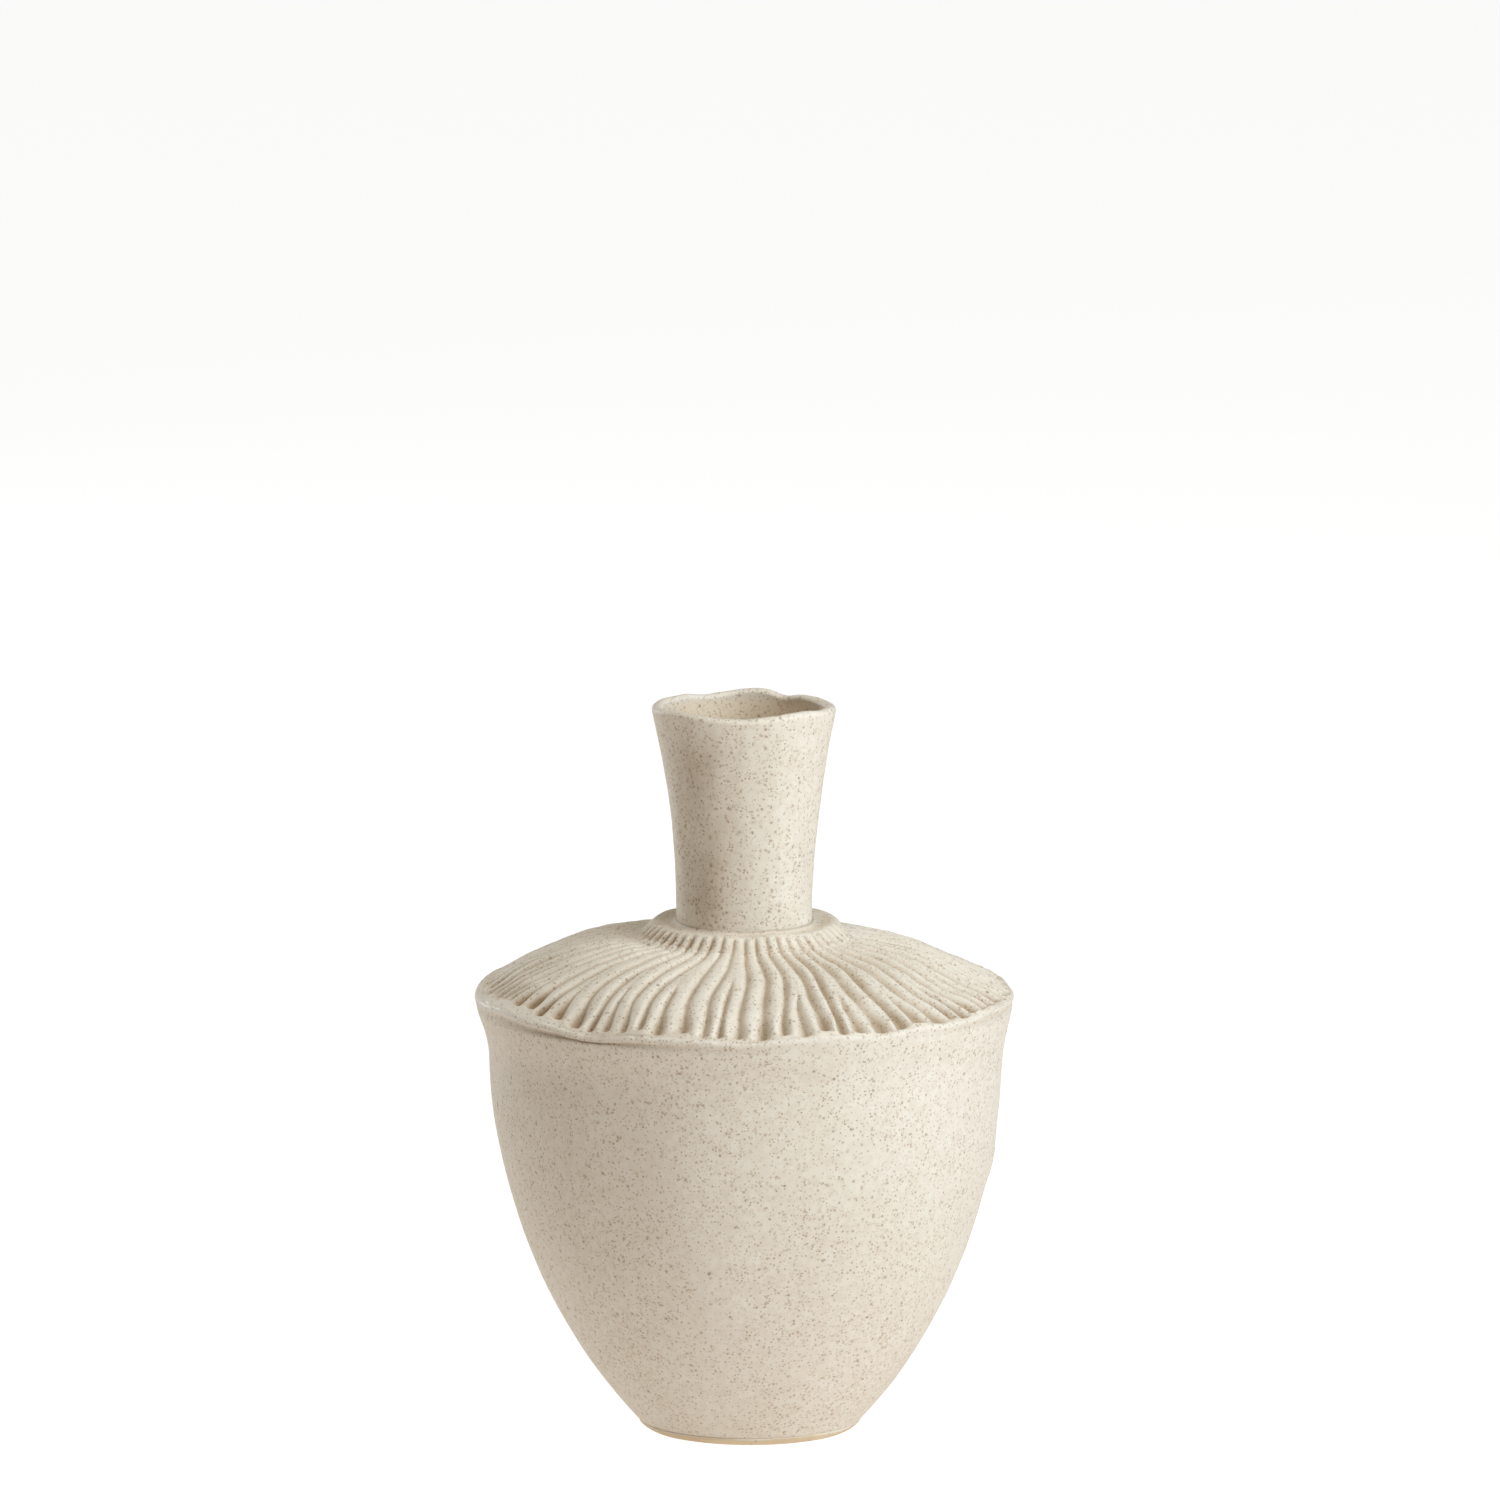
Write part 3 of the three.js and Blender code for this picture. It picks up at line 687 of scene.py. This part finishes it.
def make_bowl():
    """The wall of the bowl: narrow at the foot, upright above and flared to meet the shoulder's edge."""
    belly = curve(
        (FOOT_R, SEAT_Z), (FOOT_R + 0.45 * (WALL_R - FOOT_R), RIM_Z * 0.182), (WALL_R * 0.986, RIM_Z * 0.491),
        (WALL_R, RIM_Z * 0.877), 130,
    )
    flare = curve(
        belly[-1], (WALL_R + 0.3 * MM, RIM_Z - 11 * MM), (RIM_R + 0.1 * MM, RIM_Z - 5.5 * MM),
        (RIM_OUT_R, RIM_Z - 0.25 * MM), 24,
    )[1:]
    outside = outline(
        bend(
            (FOOT_R - 0.1 * MM, SEAT_Z), (FOOT_R + 0.2 * MM, SEAT_Z),
            (FOOT_R + 0.5 * MM, SEAT_Z + 0.6 * MM), 6,
        ),
        belly[belly[:, 1] > SEAT_Z + 0.9 * MM],
        flare,
        [(RIM_OUT_R, RIM_Z - 0.1 * MM), (RIM_OUT_R, RIM_Z - 0.02 * MM)],
    )
    hollow = offset(belly, WALL_T)
    hollow = hollow[(hollow[:, 1] > FLOOR_Z + 1.5 * MM) & (hollow[:, 1] < RIM_Z - 16 * MM)][::5][::-1]
    inside = outline(
        [(RIM_R, RIM_Z), (RIM_IN_R + 0.6 * MM, RIM_Z), (RIM_IN_R, RIM_Z - 0.6 * MM),
         (RIM_IN_R, RIM_Z - 7 * MM)],
        hollow,
        [(hollow[-1][0] - 1.5 * MM, FLOOR_Z + 0.1 * MM), (BOSS_R + SLIP_GAP, FLOOR_Z),
         (BOSS_R + SLIP_GAP, SEAT_Z)],
    )
    path = outline(outside, inside)
    r, z, degrees = turned(path, BOWL_COLUMNS)
    is_outside = (np.arange(len(path)) < len(outside))[:, None]
    above_foot = ease((z - SEAT_Z - 1 * MM) / (14 * MM)) * ease((RIM_Z - z) / (6 * MM))
    broad_dents = 0.20 * wander(r, z * 0.7, degrees, size=30 * MM, seed=11)
    small_dents = 0.06 * wander(r, z, degrees, size=11 * MM, seed=12)
    glaze_roll = 0.07 * bell((z - SEAT_Z - 1.6 * MM) / (1.1 * MM))
    glaze_roll = glaze_roll * (1 + 0.5 * wander(r, z, degrees, size=9 * MM, seed=14))
    dents = (broad_dents + small_dents) * MM * above_foot
    r = r + is_outside * (wall_swell(degrees, z) + dents + glaze_roll * MM)
    finger_marks = 0.12 * MM * wander(r, z, degrees, size=22 * MM, seed=13)
    r = r + ~is_outside * finger_marks * (z < RIM_Z - 8 * MM) * (z > 12 * MM)
    edge = 0.12 * bell((z - SEAT_Z) / (1.0 * MM)) * is_outside
    bowl = skin("bowl_body", r, z, degrees, bowl_glaze, marks={"cut": edge}, panels=3)
    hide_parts("bowl_wall")


# ---- coils inside the joints ----
def foot_coil_outline():
    """A fillet in the corner between the slab and the wall."""
    low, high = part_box("foot_coil")
    outer = (high.y - low.y) / 2
    corner = outer - 0.93 * (high.z - FLOOR_Z)
    return outline(
        line((corner - 8.6 * MM, FLOOR_Z), (corner - 0.5 * MM, FLOOR_Z), 5),
        line((corner - 0.2 * MM, FLOOR_Z + 0.4 * MM), (outer - 0.2 * MM, high.z), 6),
        curve(
            (outer - 0.6 * MM, high.z - 0.05 * MM), (outer - 3.5 * MM, high.z - 0.6 * MM),
            (corner - 3 * MM, FLOOR_Z + 2 * MM), (corner - 8.8 * MM, FLOOR_Z + 0.15 * MM), 12,
        ),
    )


def shoulder_coil_outline():
    """A half-round coil pressed on the inside of the joint between the wall and the shoulder."""
    low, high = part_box("shoulder_coil")
    back = (high.y - low.y) / 2 - 0.05 * MM
    middle = (low.z + high.z) / 2
    half = (high.z - low.z) / 2
    turn = np.radians(np.linspace(90, 270, 16))
    bulge = np.column_stack([back - 0.3 * MM + 3.7 * MM * np.cos(turn), middle + half * np.sin(turn)])
    return outline(line((back, middle - half), (back, middle + half), 6), bulge)


def make_coil(name, path, node, seed):
    """A coil of bare clay with thumb marks along its free side, which is the second half of its outline."""
    r, z, degrees = turned(path, COIL_COLUMNS)
    soft = np.zeros(len(path))
    soft[len(path) // 2 + 2 : -2] = 1
    thumbs = 0.18 * np.sin(np.radians(31 * degrees)) + 0.22 * wander(r, z, degrees, size=13 * MM, seed=seed)
    r = r + soft[:, None] * (0.25 + thumbs) * MM
    coil = skin(name, r, z, degrees, bare_coil_clay, panels=4)
    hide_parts(node)


# ---- shoulder ----
def dome_tilt(degrees, r):
    """The dome's middle stands lower on the right than on the left."""
    rise = ease((r - LAND_R) / (12 * MM)) * ease((GROOVE_END_R - r) / (12 * MM))
    return -1.1 * MM * np.cos(np.radians(degrees)) * rise


def near_edge(r):
    return ease((r - EDGE_R + 24 * MM) / (18 * MM))


def shoulder_edge(around, share_across):
    """The rounded edge and its tucked-in underside: radius and height grids, and how far it tucks in."""
    edge = outline(
        bend(
            (GILL_END_R + 0.25 * MM, RIM_Z + 5.5 * MM), (EDGE_R - 0.5 * MM, RIM_Z + 5.1 * MM),
            (EDGE_R - 0.2 * MM, RIM_Z + 4.2 * MM), 8,
        ),
        bend(
            (EDGE_R - 0.2 * MM, RIM_Z + 4.0 * MM), (EDGE_R - 0.2 * MM, RIM_Z + 3.1 * MM),
            (EDGE_R - 0.3 * MM, RIM_Z + 2.9 * MM), 4,
        ),
        line((EDGE_R - 0.35 * MM, RIM_Z + 2.7 * MM), (RIM_OUT_R + 0.02 * MM, RIM_Z + 0.3 * MM), 5),
        [(RIM_OUT_R, RIM_Z + 0.12 * MM), (RIM_OUT_R, RIM_Z + 0.03 * MM)],
    )
    share = ease((edge[:, 1] - RIM_Z) / (4.2 * MM))[:, None]
    r = edge[:, :1] + lobes(EDGE_PLAN, around) * share
    z = edge[:, 1:] + share * lobes(EDGE_HEIGHT, around)
    overhang = 0.05 * MM + lobes(EDGE_OVERHANG, around)
    tucked = ease((RIM_Z + 3.4 * MM - edge[:, 1:]) / (0.9 * MM)) * ease((edge[:, 1:] - RIM_Z) / (1.6 * MM))
    tucked = tucked * overhang
    r = r - tucked
    scallop = 0.35 * (0.5 - valley(share_across, 1.6, 1.4))
    scallop = scallop + 0.2 * wander(r, z, around, size=9 * MM, seed=33)
    return r, z + share * scallop * MM, tucked


def shoulder_underside(dome):
    """Outline of the hidden side: the seat on the rim, the ceiling, the neck's hole and the land."""
    hole_r = STUB_R + SLIP_GAP
    ceiling = offset(dome, -CAP_T)
    ceiling = ceiling[(ceiling[:, 0] < RIM_IN_R - 4 * MM) & (ceiling[:, 0] > hole_r + 12 * MM)][::6][::-1]
    return outline(
        [(RIM_R, RIM_Z + 0.02 * MM), (RIM_IN_R, RIM_Z + 0.02 * MM), (RIM_IN_R, RIM_Z + 2.8 * MM)],
        ceiling,
        [(hole_r, STUB_Z), (hole_r, LAND_Z), (NECK_FOOT_R, LAND_Z), (LAND_R - 4 * MM, LAND_Z - 1.8 * MM)],
    )


def make_shoulder():
    """The gilled shoulder: crevices between rounded gills, scooped at their ends, inside a waved edge."""
    number = np.repeat(groove_number, len(COLUMNS))
    share_across = np.tile(COLUMNS, GROOVES)

    # the dome's outline at the front, and how far the flatter one at the sides lies from it
    start, finish = (LAND_R - 2.4 * MM, LAND_Z + 0.1 * MM), (GILL_END_R, RIM_Z + 5.7 * MM)
    dome = curve(
        start, (LAND_R + 31 * MM, LAND_Z - 4.2 * MM), (EDGE_R - 10.2 * MM, RIM_Z + 14.3 * MM),
        finish, DOME_ROWS,
    )
    side = curve(
        start, (LAND_R + 37 * MM, LAND_Z - 3.5 * MM), (EDGE_R - 11.5 * MM, RIM_Z + 9.4 * MM), finish, 90
    )
    side_drop = np.interp(dome[:, 0], side[:, 0], side[:, 1]) - dome[:, 1]
    dome[:, 1] += 1.2 * MM * np.clip((LAND_R + 1.2 * MM - dome[:, 0]) / (3.6 * MM), 0, 1) ** 2
    degrees = np.array([across_grooves(shivering_ridges(r)) for r in dome[:, 0]])
    r = np.repeat(dome[:, :1], len(number), axis=1)
    sideways = ease((np.abs(np.cos(np.radians(degrees))) - 0.4) / 0.5)
    side_shift = 0.85 * side_drop[:, None] + 0.75 * MM * bell((r - 66 * MM) / (16 * MM))
    z = dome[:, 1:] + side_shift * sideways

    # where on the shoulder a point lies
    outward = ease((r - LAND_R) / (6 * MM))
    rightward = ease((np.cos(np.radians(degrees)) + 0.15) / 0.8)
    leftward = near(degrees, DEEP_GILLS_AND_PAINTED_SHADE)
    smeared_rim_and_highlight = near(degrees[-1], SMEARED_RIM_AND_PAINTED_HIGHLIGHT)
    end_r = GILL_END_R + (0.8 * np.sin(2.7 * number) - 0.4 - 3.0 * smeared_rim_and_highlight + 0.7 * rightward[-1]) * MM
    near_end = ease((r - end_r + 13 * MM) / (10 * MM))
    end = ease((end_r - r) / (1.8 * MM))

    # depth of the grooves, in millimetres
    opened = np.where(is_short[number], ease((r - short_start[number]) / (12 * MM)), 1.0)
    chatter = 1 + 0.12 * outward * np.sin(r / (3.3 * MM) + 2.1 * number) + 0.16 * np.sin(1.7 * number)
    crevice = valley(
        share_across, 3.3 - (1.1 + 0.7 * leftward) * near_end - 1.3 * rightward * outward,
        2.2 - (0.6 + 0.4 * leftward) * near_end - 0.6 * rightward * outward,
    )
    depth = 1.35 + 0.70 * ease((r - LAND_R) / (35 * MM)) + 0.75 * near_end
    depth = depth + outward * (0.45 * rightward + (0.30 + 0.80 * near_end) * leftward)
    cut = opened * depth * chatter * crevice * end

    # the grooves go in square to the dome, but straight down where they run under the ring
    uneven = 0.30 * wander(r, z, degrees, size=24 * MM, seed=31)
    uneven = uneven + 0.12 * wander(r, z, degrees, size=6 * MM, seed=32)
    lift = dome_tilt(degrees, r) + near_edge(r) * lobes(EDGE_HEIGHT, degrees)
    square_r, square_z = sink(dome, r, z, (cut - uneven * outward) * MM)
    r = square_r * outward + r * (1 - outward)
    z = square_z * outward + (z - cut * MM) * (1 - outward) + lift
    r = r + near_edge(r) * lobes(EDGE_PLAN, degrees)

    # brown in the scoops: partly thin glaze and partly painted shade of the deep recesses; pale on the crests
    # and the smeared rim: a painted highlight
    # painted shade: the terms for the left side make the shoulder's left side browner among its grooves
    scoop = np.clip(cut / 2.1, 0, 1) ** 1.4 * (0.46 + 0.24 * near_end + 0.24 * rightward + 0.34 * leftward)
    scoop = scoop + 0.14 * leftward * near_end * end
    # painted highlight: pale on the gills' crests, and strongly on the smeared rim at the left
    crest = (1 - crevice) ** 3 * end
    crest = np.maximum(crest, 1.6 * smeared_rim_and_highlight * ease((r - end_r + 1 * MM) / (2 * MM)))

    around = degrees[-1]
    edge_r, edge_z, tucked = shoulder_edge(around, share_across)
    # painted highlight: a pale band along the top of the edge, weaker on the right and stronger at the
    # smeared rim
    band = bell((edge_z - RIM_Z - 5.0 * MM) / (1.5 * MM)) * (1 - 0.8 * rightward[-1] + 0.6 * smeared_rim_and_highlight)
    under_r, under_z = spread(shoulder_underside(dome), len(number))
    under_degrees = np.repeat(around[None], len(edge_r) + len(under_r), axis=0)
    unmarked = np.zeros(under_r.shape)
    shoulder = skin(
        "gilled_shoulder", np.vstack([r, edge_r, under_r])[::-1], np.vstack([z, edge_z, under_z])[::-1],
        np.vstack([degrees, under_degrees])[::-1], shoulder_glaze,
        marks={
            # the edge rows get painted shade under the overhang, half the tuck in millimetres
            "cut": np.vstack([scoop, 0.5 * tucked / MM, unmarked])[::-1],
            "pale_wear_and_highlight": np.vstack([crest, band, unmarked])[::-1],
        },
        panels=4,
    )
    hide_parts("shoulder_cap")


# ---- ring round the neck's foot ----
def make_ring():
    """The ring: its slope smears down into the shoulder and carries the inner ends of the long grooves."""
    inner_ridges = ridges(LAND_R)
    long_ridges = np.append(inner_ridges[:-1][~is_short], inner_ridges[0] + FULL_TURN)
    degrees = across_grooves(long_ridges)
    share_across = np.tile(COLUMNS, LONG_GROOVES)
    number = np.repeat(groove_number[~is_short], len(COLUMNS))
    top_z = LAND_Z + RING_H
    slope = outline(
        bend(
            (LAND_R + 1.4 * MM, LAND_Z - 1.1 * MM), (LAND_R - 1.3 * MM, LAND_Z + 0.5 * MM),
            (RING_TOP_R + 1.0 * MM, LAND_Z + 2.9 * MM), 14,
        ),
        bend(
            (RING_TOP_R + 0.7 * MM, LAND_Z + 3.2 * MM), (RING_TOP_R - 1.4 * MM, top_z + 0.1 * MM),
            (RING_TOP_R - 3.8 * MM, top_z + 0.05 * MM), 14,
        ),
    )
    top = outline(
        curve(
            (RING_TOP_R - 4.2 * MM, top_z), (RING_TOP_R - 6.5 * MM, top_z - 0.5 * MM),
            (NECK_R + 1.5 * MM, top_z - 1.1 * MM), (NECK_R + 0.3 * MM, top_z + 0.7 * MM), 14,
        ),
        bend(
            (NECK_R + 0.25 * MM, top_z + 0.8 * MM), (NECK_R + 0.1 * MM, top_z + 0.9 * MM),
            (NECK_R + 0.1 * MM, top_z - 0.6 * MM), 5,
        ),
        [(NECK_FOOT_R + 0.45 * MM, LAND_Z - 1.0 * MM), (LAND_R - 4 * MM, LAND_Z - 1.7 * MM),
         (LAND_R + 1.2 * MM, LAND_Z - 1.7 * MM)],
    )
    path = outline(slope, top)
    r, z = spread(path, len(share_across))
    on_slope = (np.arange(len(path)) < len(slope))[:, None]
    behind = ease((np.sin(np.radians(degrees)) + 0.2) / 0.8)
    start_r = RING_TOP_R + (0.5 * np.sin(2.7 * number) - 2.7 + 2.2 * behind) * MM
    opened = on_slope * ease((r - start_r) / (2.4 * MM))
    chatter = 1 + 0.16 * np.sin(1.7 * number)
    front_left = near(degrees, DEEP_RING_CUTS_AND_PAINTED_SHADE)
    crevice = valley(share_across, 3.3 - 1.2 * front_left, 2.2 - 0.7 * front_left)
    cut = opened * (1.35 + 0.60 * front_left) * chatter * crevice
    free = on_slope * ease((z - LAND_Z) / (2.7 * MM)) + ~on_slope * (z > top_z - 1.2 * MM)
    z = z + ease((z - LAND_Z - 1 * MM) / (3 * MM)) * lobes(RING_HEIGHT, degrees)
    r, z = sink(path, r, z, -0.22 * MM * free * wander(r, z, degrees, size=11 * MM, seed=41))
    z = z - cut * MM
    dry_side = 0.25 + 0.75 * ease(np.cos(np.radians(degrees + 10)) + 0.3)
    seam = bell((path[:, :1] - NECK_R - 0.4 * MM) / (0.4 * MM)) * dry_side
    # brown in the ring's slots: partly thin glaze and partly painted shade of the recesses, with more painted
    # shade at the front left
    scoop = np.clip(cut / 1.4, 0, 1) * (0.80 + 0.35 * front_left)
    shoulder_of_ring = bell((r - RING_TOP_R + 1.5 * MM) / (2.5 * MM))
    marks = {
        "cut": np.maximum(scoop, 0.8 * seam),
        # pale on the ring's crests near its top: a painted highlight
        "pale_wear_and_highlight": on_slope * (1 - crevice) ** 3 * shoulder_of_ring,
    }
    ring = skin("neck_ring", r, z, degrees, ring_glaze, marks=marks, panels=4)
    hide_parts("neck_collar")


# ---- neck ----
def make_neck():
    """The flared neck: a stub and flange below, a pinch and flutes up its side, and a waved lip."""
    foot_top = LAND_Z + RING_H - 1 * MM
    rise = LIP_Z - LAND_Z
    foot = outline(
        [(STUB_R, STUB_Z), (STUB_R, LAND_Z), (NECK_FOOT_R, LAND_Z)],
        line((NECK_FOOT_R, LAND_Z), (NECK_R + 0.05 * MM, foot_top), 4),
    )
    outside = curve(
        (NECK_R, foot_top), (NECK_R - 0.5 * MM, LAND_Z + rise * 0.23),
        (NECK_R + 1.5 * MM, LAND_Z + rise * 0.56), (MOUTH_R - 0.15 * MM, LIP_Z - 2.9 * MM), 120,
    )
    half = LIP_W / 2
    roll = 1.9 * MM
    turn = np.radians(np.linspace(-8, 188, 18))
    lip = np.column_stack([MOUTH_R - half + half * np.cos(turn), LIP_Z - roll + roll * np.sin(turn)])
    bore = curve(
        (MOUTH_R - LIP_W - 0.05 * MM, LIP_Z - 3.4 * MM), (NECK_R - 1.8 * MM, LAND_Z + rise * 0.54),
        (NECK_R - NECK_T - 0.2 * MM, LAND_Z + rise * 0.2), (STUB_R - NECK_T + 0.2 * MM, STUB_Z), 50,
    )
    path = outline(foot, outside, lip, bore)
    r, z, degrees = turned(path, NECK_COLUMNS)
    waved = ease((z - LIP_Z + 30 * MM) / (28 * MM))
    is_outside = (np.arange(len(path)) < len(foot) + len(outside))[:, None]
    free = ease((z - foot_top - 1.5 * MM) / (10 * MM))

    pinch_centre = PINCH_AT + PINCH_DEGREES_PER_METRE * (z - LAND_Z)
    pinch = -1.25 * bell(away(degrees, pinch_centre) / PINCH_HALF) + 0.35 * near(degrees, PINCH_SHOULDER)
    crease = pinch * bell((z - LIP_Z + 46 * MM) / (48 * MM))
    flutes = 0.16 * np.sin(np.radians(5 * degrees + 20)) + 0.14 * np.sin(np.radians(8 * degrees + 250))
    dents = 0.22 * wander(r, z * 0.6, degrees, size=20 * MM, seed=51)
    dents = dents + 0.07 * wander(r, z, degrees, size=7 * MM, seed=52)
    hand = (crease + flutes + dents) * MM * free
    r = r + waved * lobes(LIP_PLAN, degrees) + hand * np.where(is_outside, 1.0, 0.8 * waved)
    nibbled = 0.12 * MM * wander(r, z, degrees, size=8 * MM, seed=53)
    z = z + waved**2 * (lobes(LIP_HEIGHT, degrees) + nibbled)

    # painted shade: a brown band down the front left of the neck, from just below the lip, broken into
    # vertical streaks
    painted_shade_outside = near(degrees, NECK_PAINTED_SHADE) * ease((LIP_Z - 3 * MM - z) / (14 * MM)) * free
    shade_streaks = wander(r, z * 0.4, degrees, size=9 * MM, seed=54)
    painted_shade_outside = painted_shade_outside * np.clip(0.75 + 0.30 * shade_streaks, 0, 1.1)
    # pale on top of the lip: a painted highlight
    lip_top = bell((z - LIP_Z - lobes(LIP_HEIGHT, degrees)) / (1.5 * MM))
    # inside the mouth: golden where "warm" is a painted warm glow, and the glaze is a little browner from
    # just below the lip downwards
    inside = ~is_outside * ease((LIP_Z - 1 * MM - z) / (4 * MM))
    neck = skin(
        "flared_neck", r, z, degrees, neck_glaze,
        marks={"cut": np.where(is_outside, painted_shade_outside, 0.20 * inside), "pale_wear_and_highlight": lip_top, "warm": inside},
    )
    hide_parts("neck_tube")


make_foot()
make_bowl()
make_coil("foot_coil_smear", foot_coil_outline(), "foot_coil", seed=21)
make_coil("shoulder_coil_smear", shoulder_coil_outline(), "shoulder_coil", seed=22)
make_shoulder()
make_ring()
make_neck()


# ---- floor, light and camera ----
FLOOR_HALF = 60.0
FLOOR_COLOUR = (0.35, 0.35, 0.35, 1.0)
FLOOR_LIFT = (0.93, 0.93, 0.93, 1.0)
GLOW_COLOUR = (0.605, 0.547, 0.492, 1.0)
FILL_COLOUR = (1.0, 0.86, 0.68, 1.0)
FILL_POWER = 0.05
WALL_WHITE = (1.0, 1.0, 1.0, 1.0)
# name, degrees round from the camera to the right, degrees up, distance and width in metres, watts, colour
LIGHTS = [
    ("key_right", 57, 24, 2.0, 1.4, 31.5, (0.83, 0.93, 1.0)),
    ("rim_left", -137, 14, 2.2, 0.7, 17.0, (0.88, 0.96, 1.0)),
    ("overhead", 10, 74, 1.8, 1.4, 15.8, (1.0, 0.91, 0.77)),
]
LIGHT_AIM = Vector((0, 0, 0.15))
# degrees: how high the camera stands, how far above the vase's middle it looks, how far right it turns
CAMERA_RISE = 10.8
CAMERA_TIP = 1.036
CAMERA_PAN = 0.023
CAMERA_DISTANCE = 7.0
CAMERA_SIDE = -2.8 * MM
CAMERA_LEVEL = 145 * MM
CAMERA_SENSOR = 36.0
CAMERA_LENS = 422.1


def make_floor():
    """A plain pale floor. What the lens sees of it is lifted to near white; what it throws back is soft."""
    half = FLOOR_HALF
    mesh = bpy.data.meshes.new("studio_floor")
    corners = [(-half, -half, 0), (half, -half, 0), (half, half, 0), (-half, half, 0)]
    mesh.from_pydata(corners, [], [(0, 1, 2, 3)])
    material, tree, surface, spot = new_material("studio_floor")
    soft = noise(tree, spot, scale=3.0, detail=1.0).outputs[0]
    tree.links.new(ramp(tree, soft, 0.3, 0.7, 0.70, 0.80), surface["Roughness"])
    surface["Base Color"].default_value = FLOOR_COLOUR
    seen = place(tree, "ShaderNodeLightPath").outputs["Is Camera Ray"]
    tree.links.new(tint(tree, seen, GLOW_COLOUR, FLOOR_LIFT), surface["Emission Color"])
    surface["Emission Strength"].default_value = 1.0
    surface["Specular IOR Level"].default_value = 0.1
    mesh.materials.append(material)
    floor = bpy.data.objects.new("studio_floor", mesh)
    bpy.context.scene.collection.objects.link(floor)


def make_world():
    """Soft warm fill from the room, and a white wall behind for the lens."""
    world = bpy.data.worlds.new("studio")
    bpy.context.scene.world = world
    world.use_nodes = True
    tree = world.node_tree
    fill = tree.nodes["Background"]
    fill.inputs["Color"].default_value = FILL_COLOUR
    fill.inputs["Strength"].default_value = FILL_POWER
    wall = place(tree, "ShaderNodeBackground", Color=WALL_WHITE, Strength=1.0)
    seen = place(tree, "ShaderNodeLightPath").outputs["Is Camera Ray"]
    mixed = tree.nodes.new("ShaderNodeMixShader")
    tree.links.new(seen, mixed.inputs[0])
    tree.links.new(fill.outputs[0], mixed.inputs[1])
    tree.links.new(wall.outputs[0], mixed.inputs[2])
    tree.links.new(mixed.outputs[0], tree.nodes["World Output"].inputs["Surface"])


def make_light(name, azimuth, elevation, distance, width, power, colour):
    """A soft square light that faces the vase."""
    turn, tilt = math.radians(azimuth), math.radians(elevation)
    heading = Vector((math.sin(turn) * math.cos(tilt), -math.cos(turn) * math.cos(tilt), math.sin(tilt)))
    light = bpy.data.lights.new(name, "AREA")
    light.shape = "SQUARE"
    light.size = width
    light.energy = power
    light.color = colour
    lamp = bpy.data.objects.new(name, light)
    lamp.location = LIGHT_AIM + heading * distance
    lamp.rotation_euler = heading.to_track_quat("Z", "Y").to_euler()
    bpy.context.scene.collection.objects.link(lamp)


def make_camera():
    """A long lens from a little above the vase's middle."""
    sight = math.radians(CAMERA_RISE)
    drop = math.radians(CAMERA_RISE - CAMERA_TIP)
    pan = math.radians(CAMERA_PAN)
    heading = Vector((math.sin(pan) * math.cos(drop), math.cos(pan) * math.cos(drop), -math.sin(drop)))
    camera = bpy.data.cameras.new("camera")
    camera.sensor_width = CAMERA_SENSOR
    camera.lens = CAMERA_LENS
    camera.clip_end = FLOOR_HALF
    viewer = bpy.data.objects.new("camera", camera)
    viewer.location = Vector(
        (CAMERA_SIDE, -CAMERA_DISTANCE * math.cos(sight), CAMERA_LEVEL + CAMERA_DISTANCE * math.sin(sight))
    )
    viewer.rotation_euler = (-heading).to_track_quat("Z", "Y").to_euler()
    bpy.context.scene.collection.objects.link(viewer)
    bpy.context.scene.camera = viewer


make_floor()
make_world()
for light_row in LIGHTS:
    make_light(*light_row)
make_camera()
bpy.context.scene.view_settings.view_transform = "Standard"
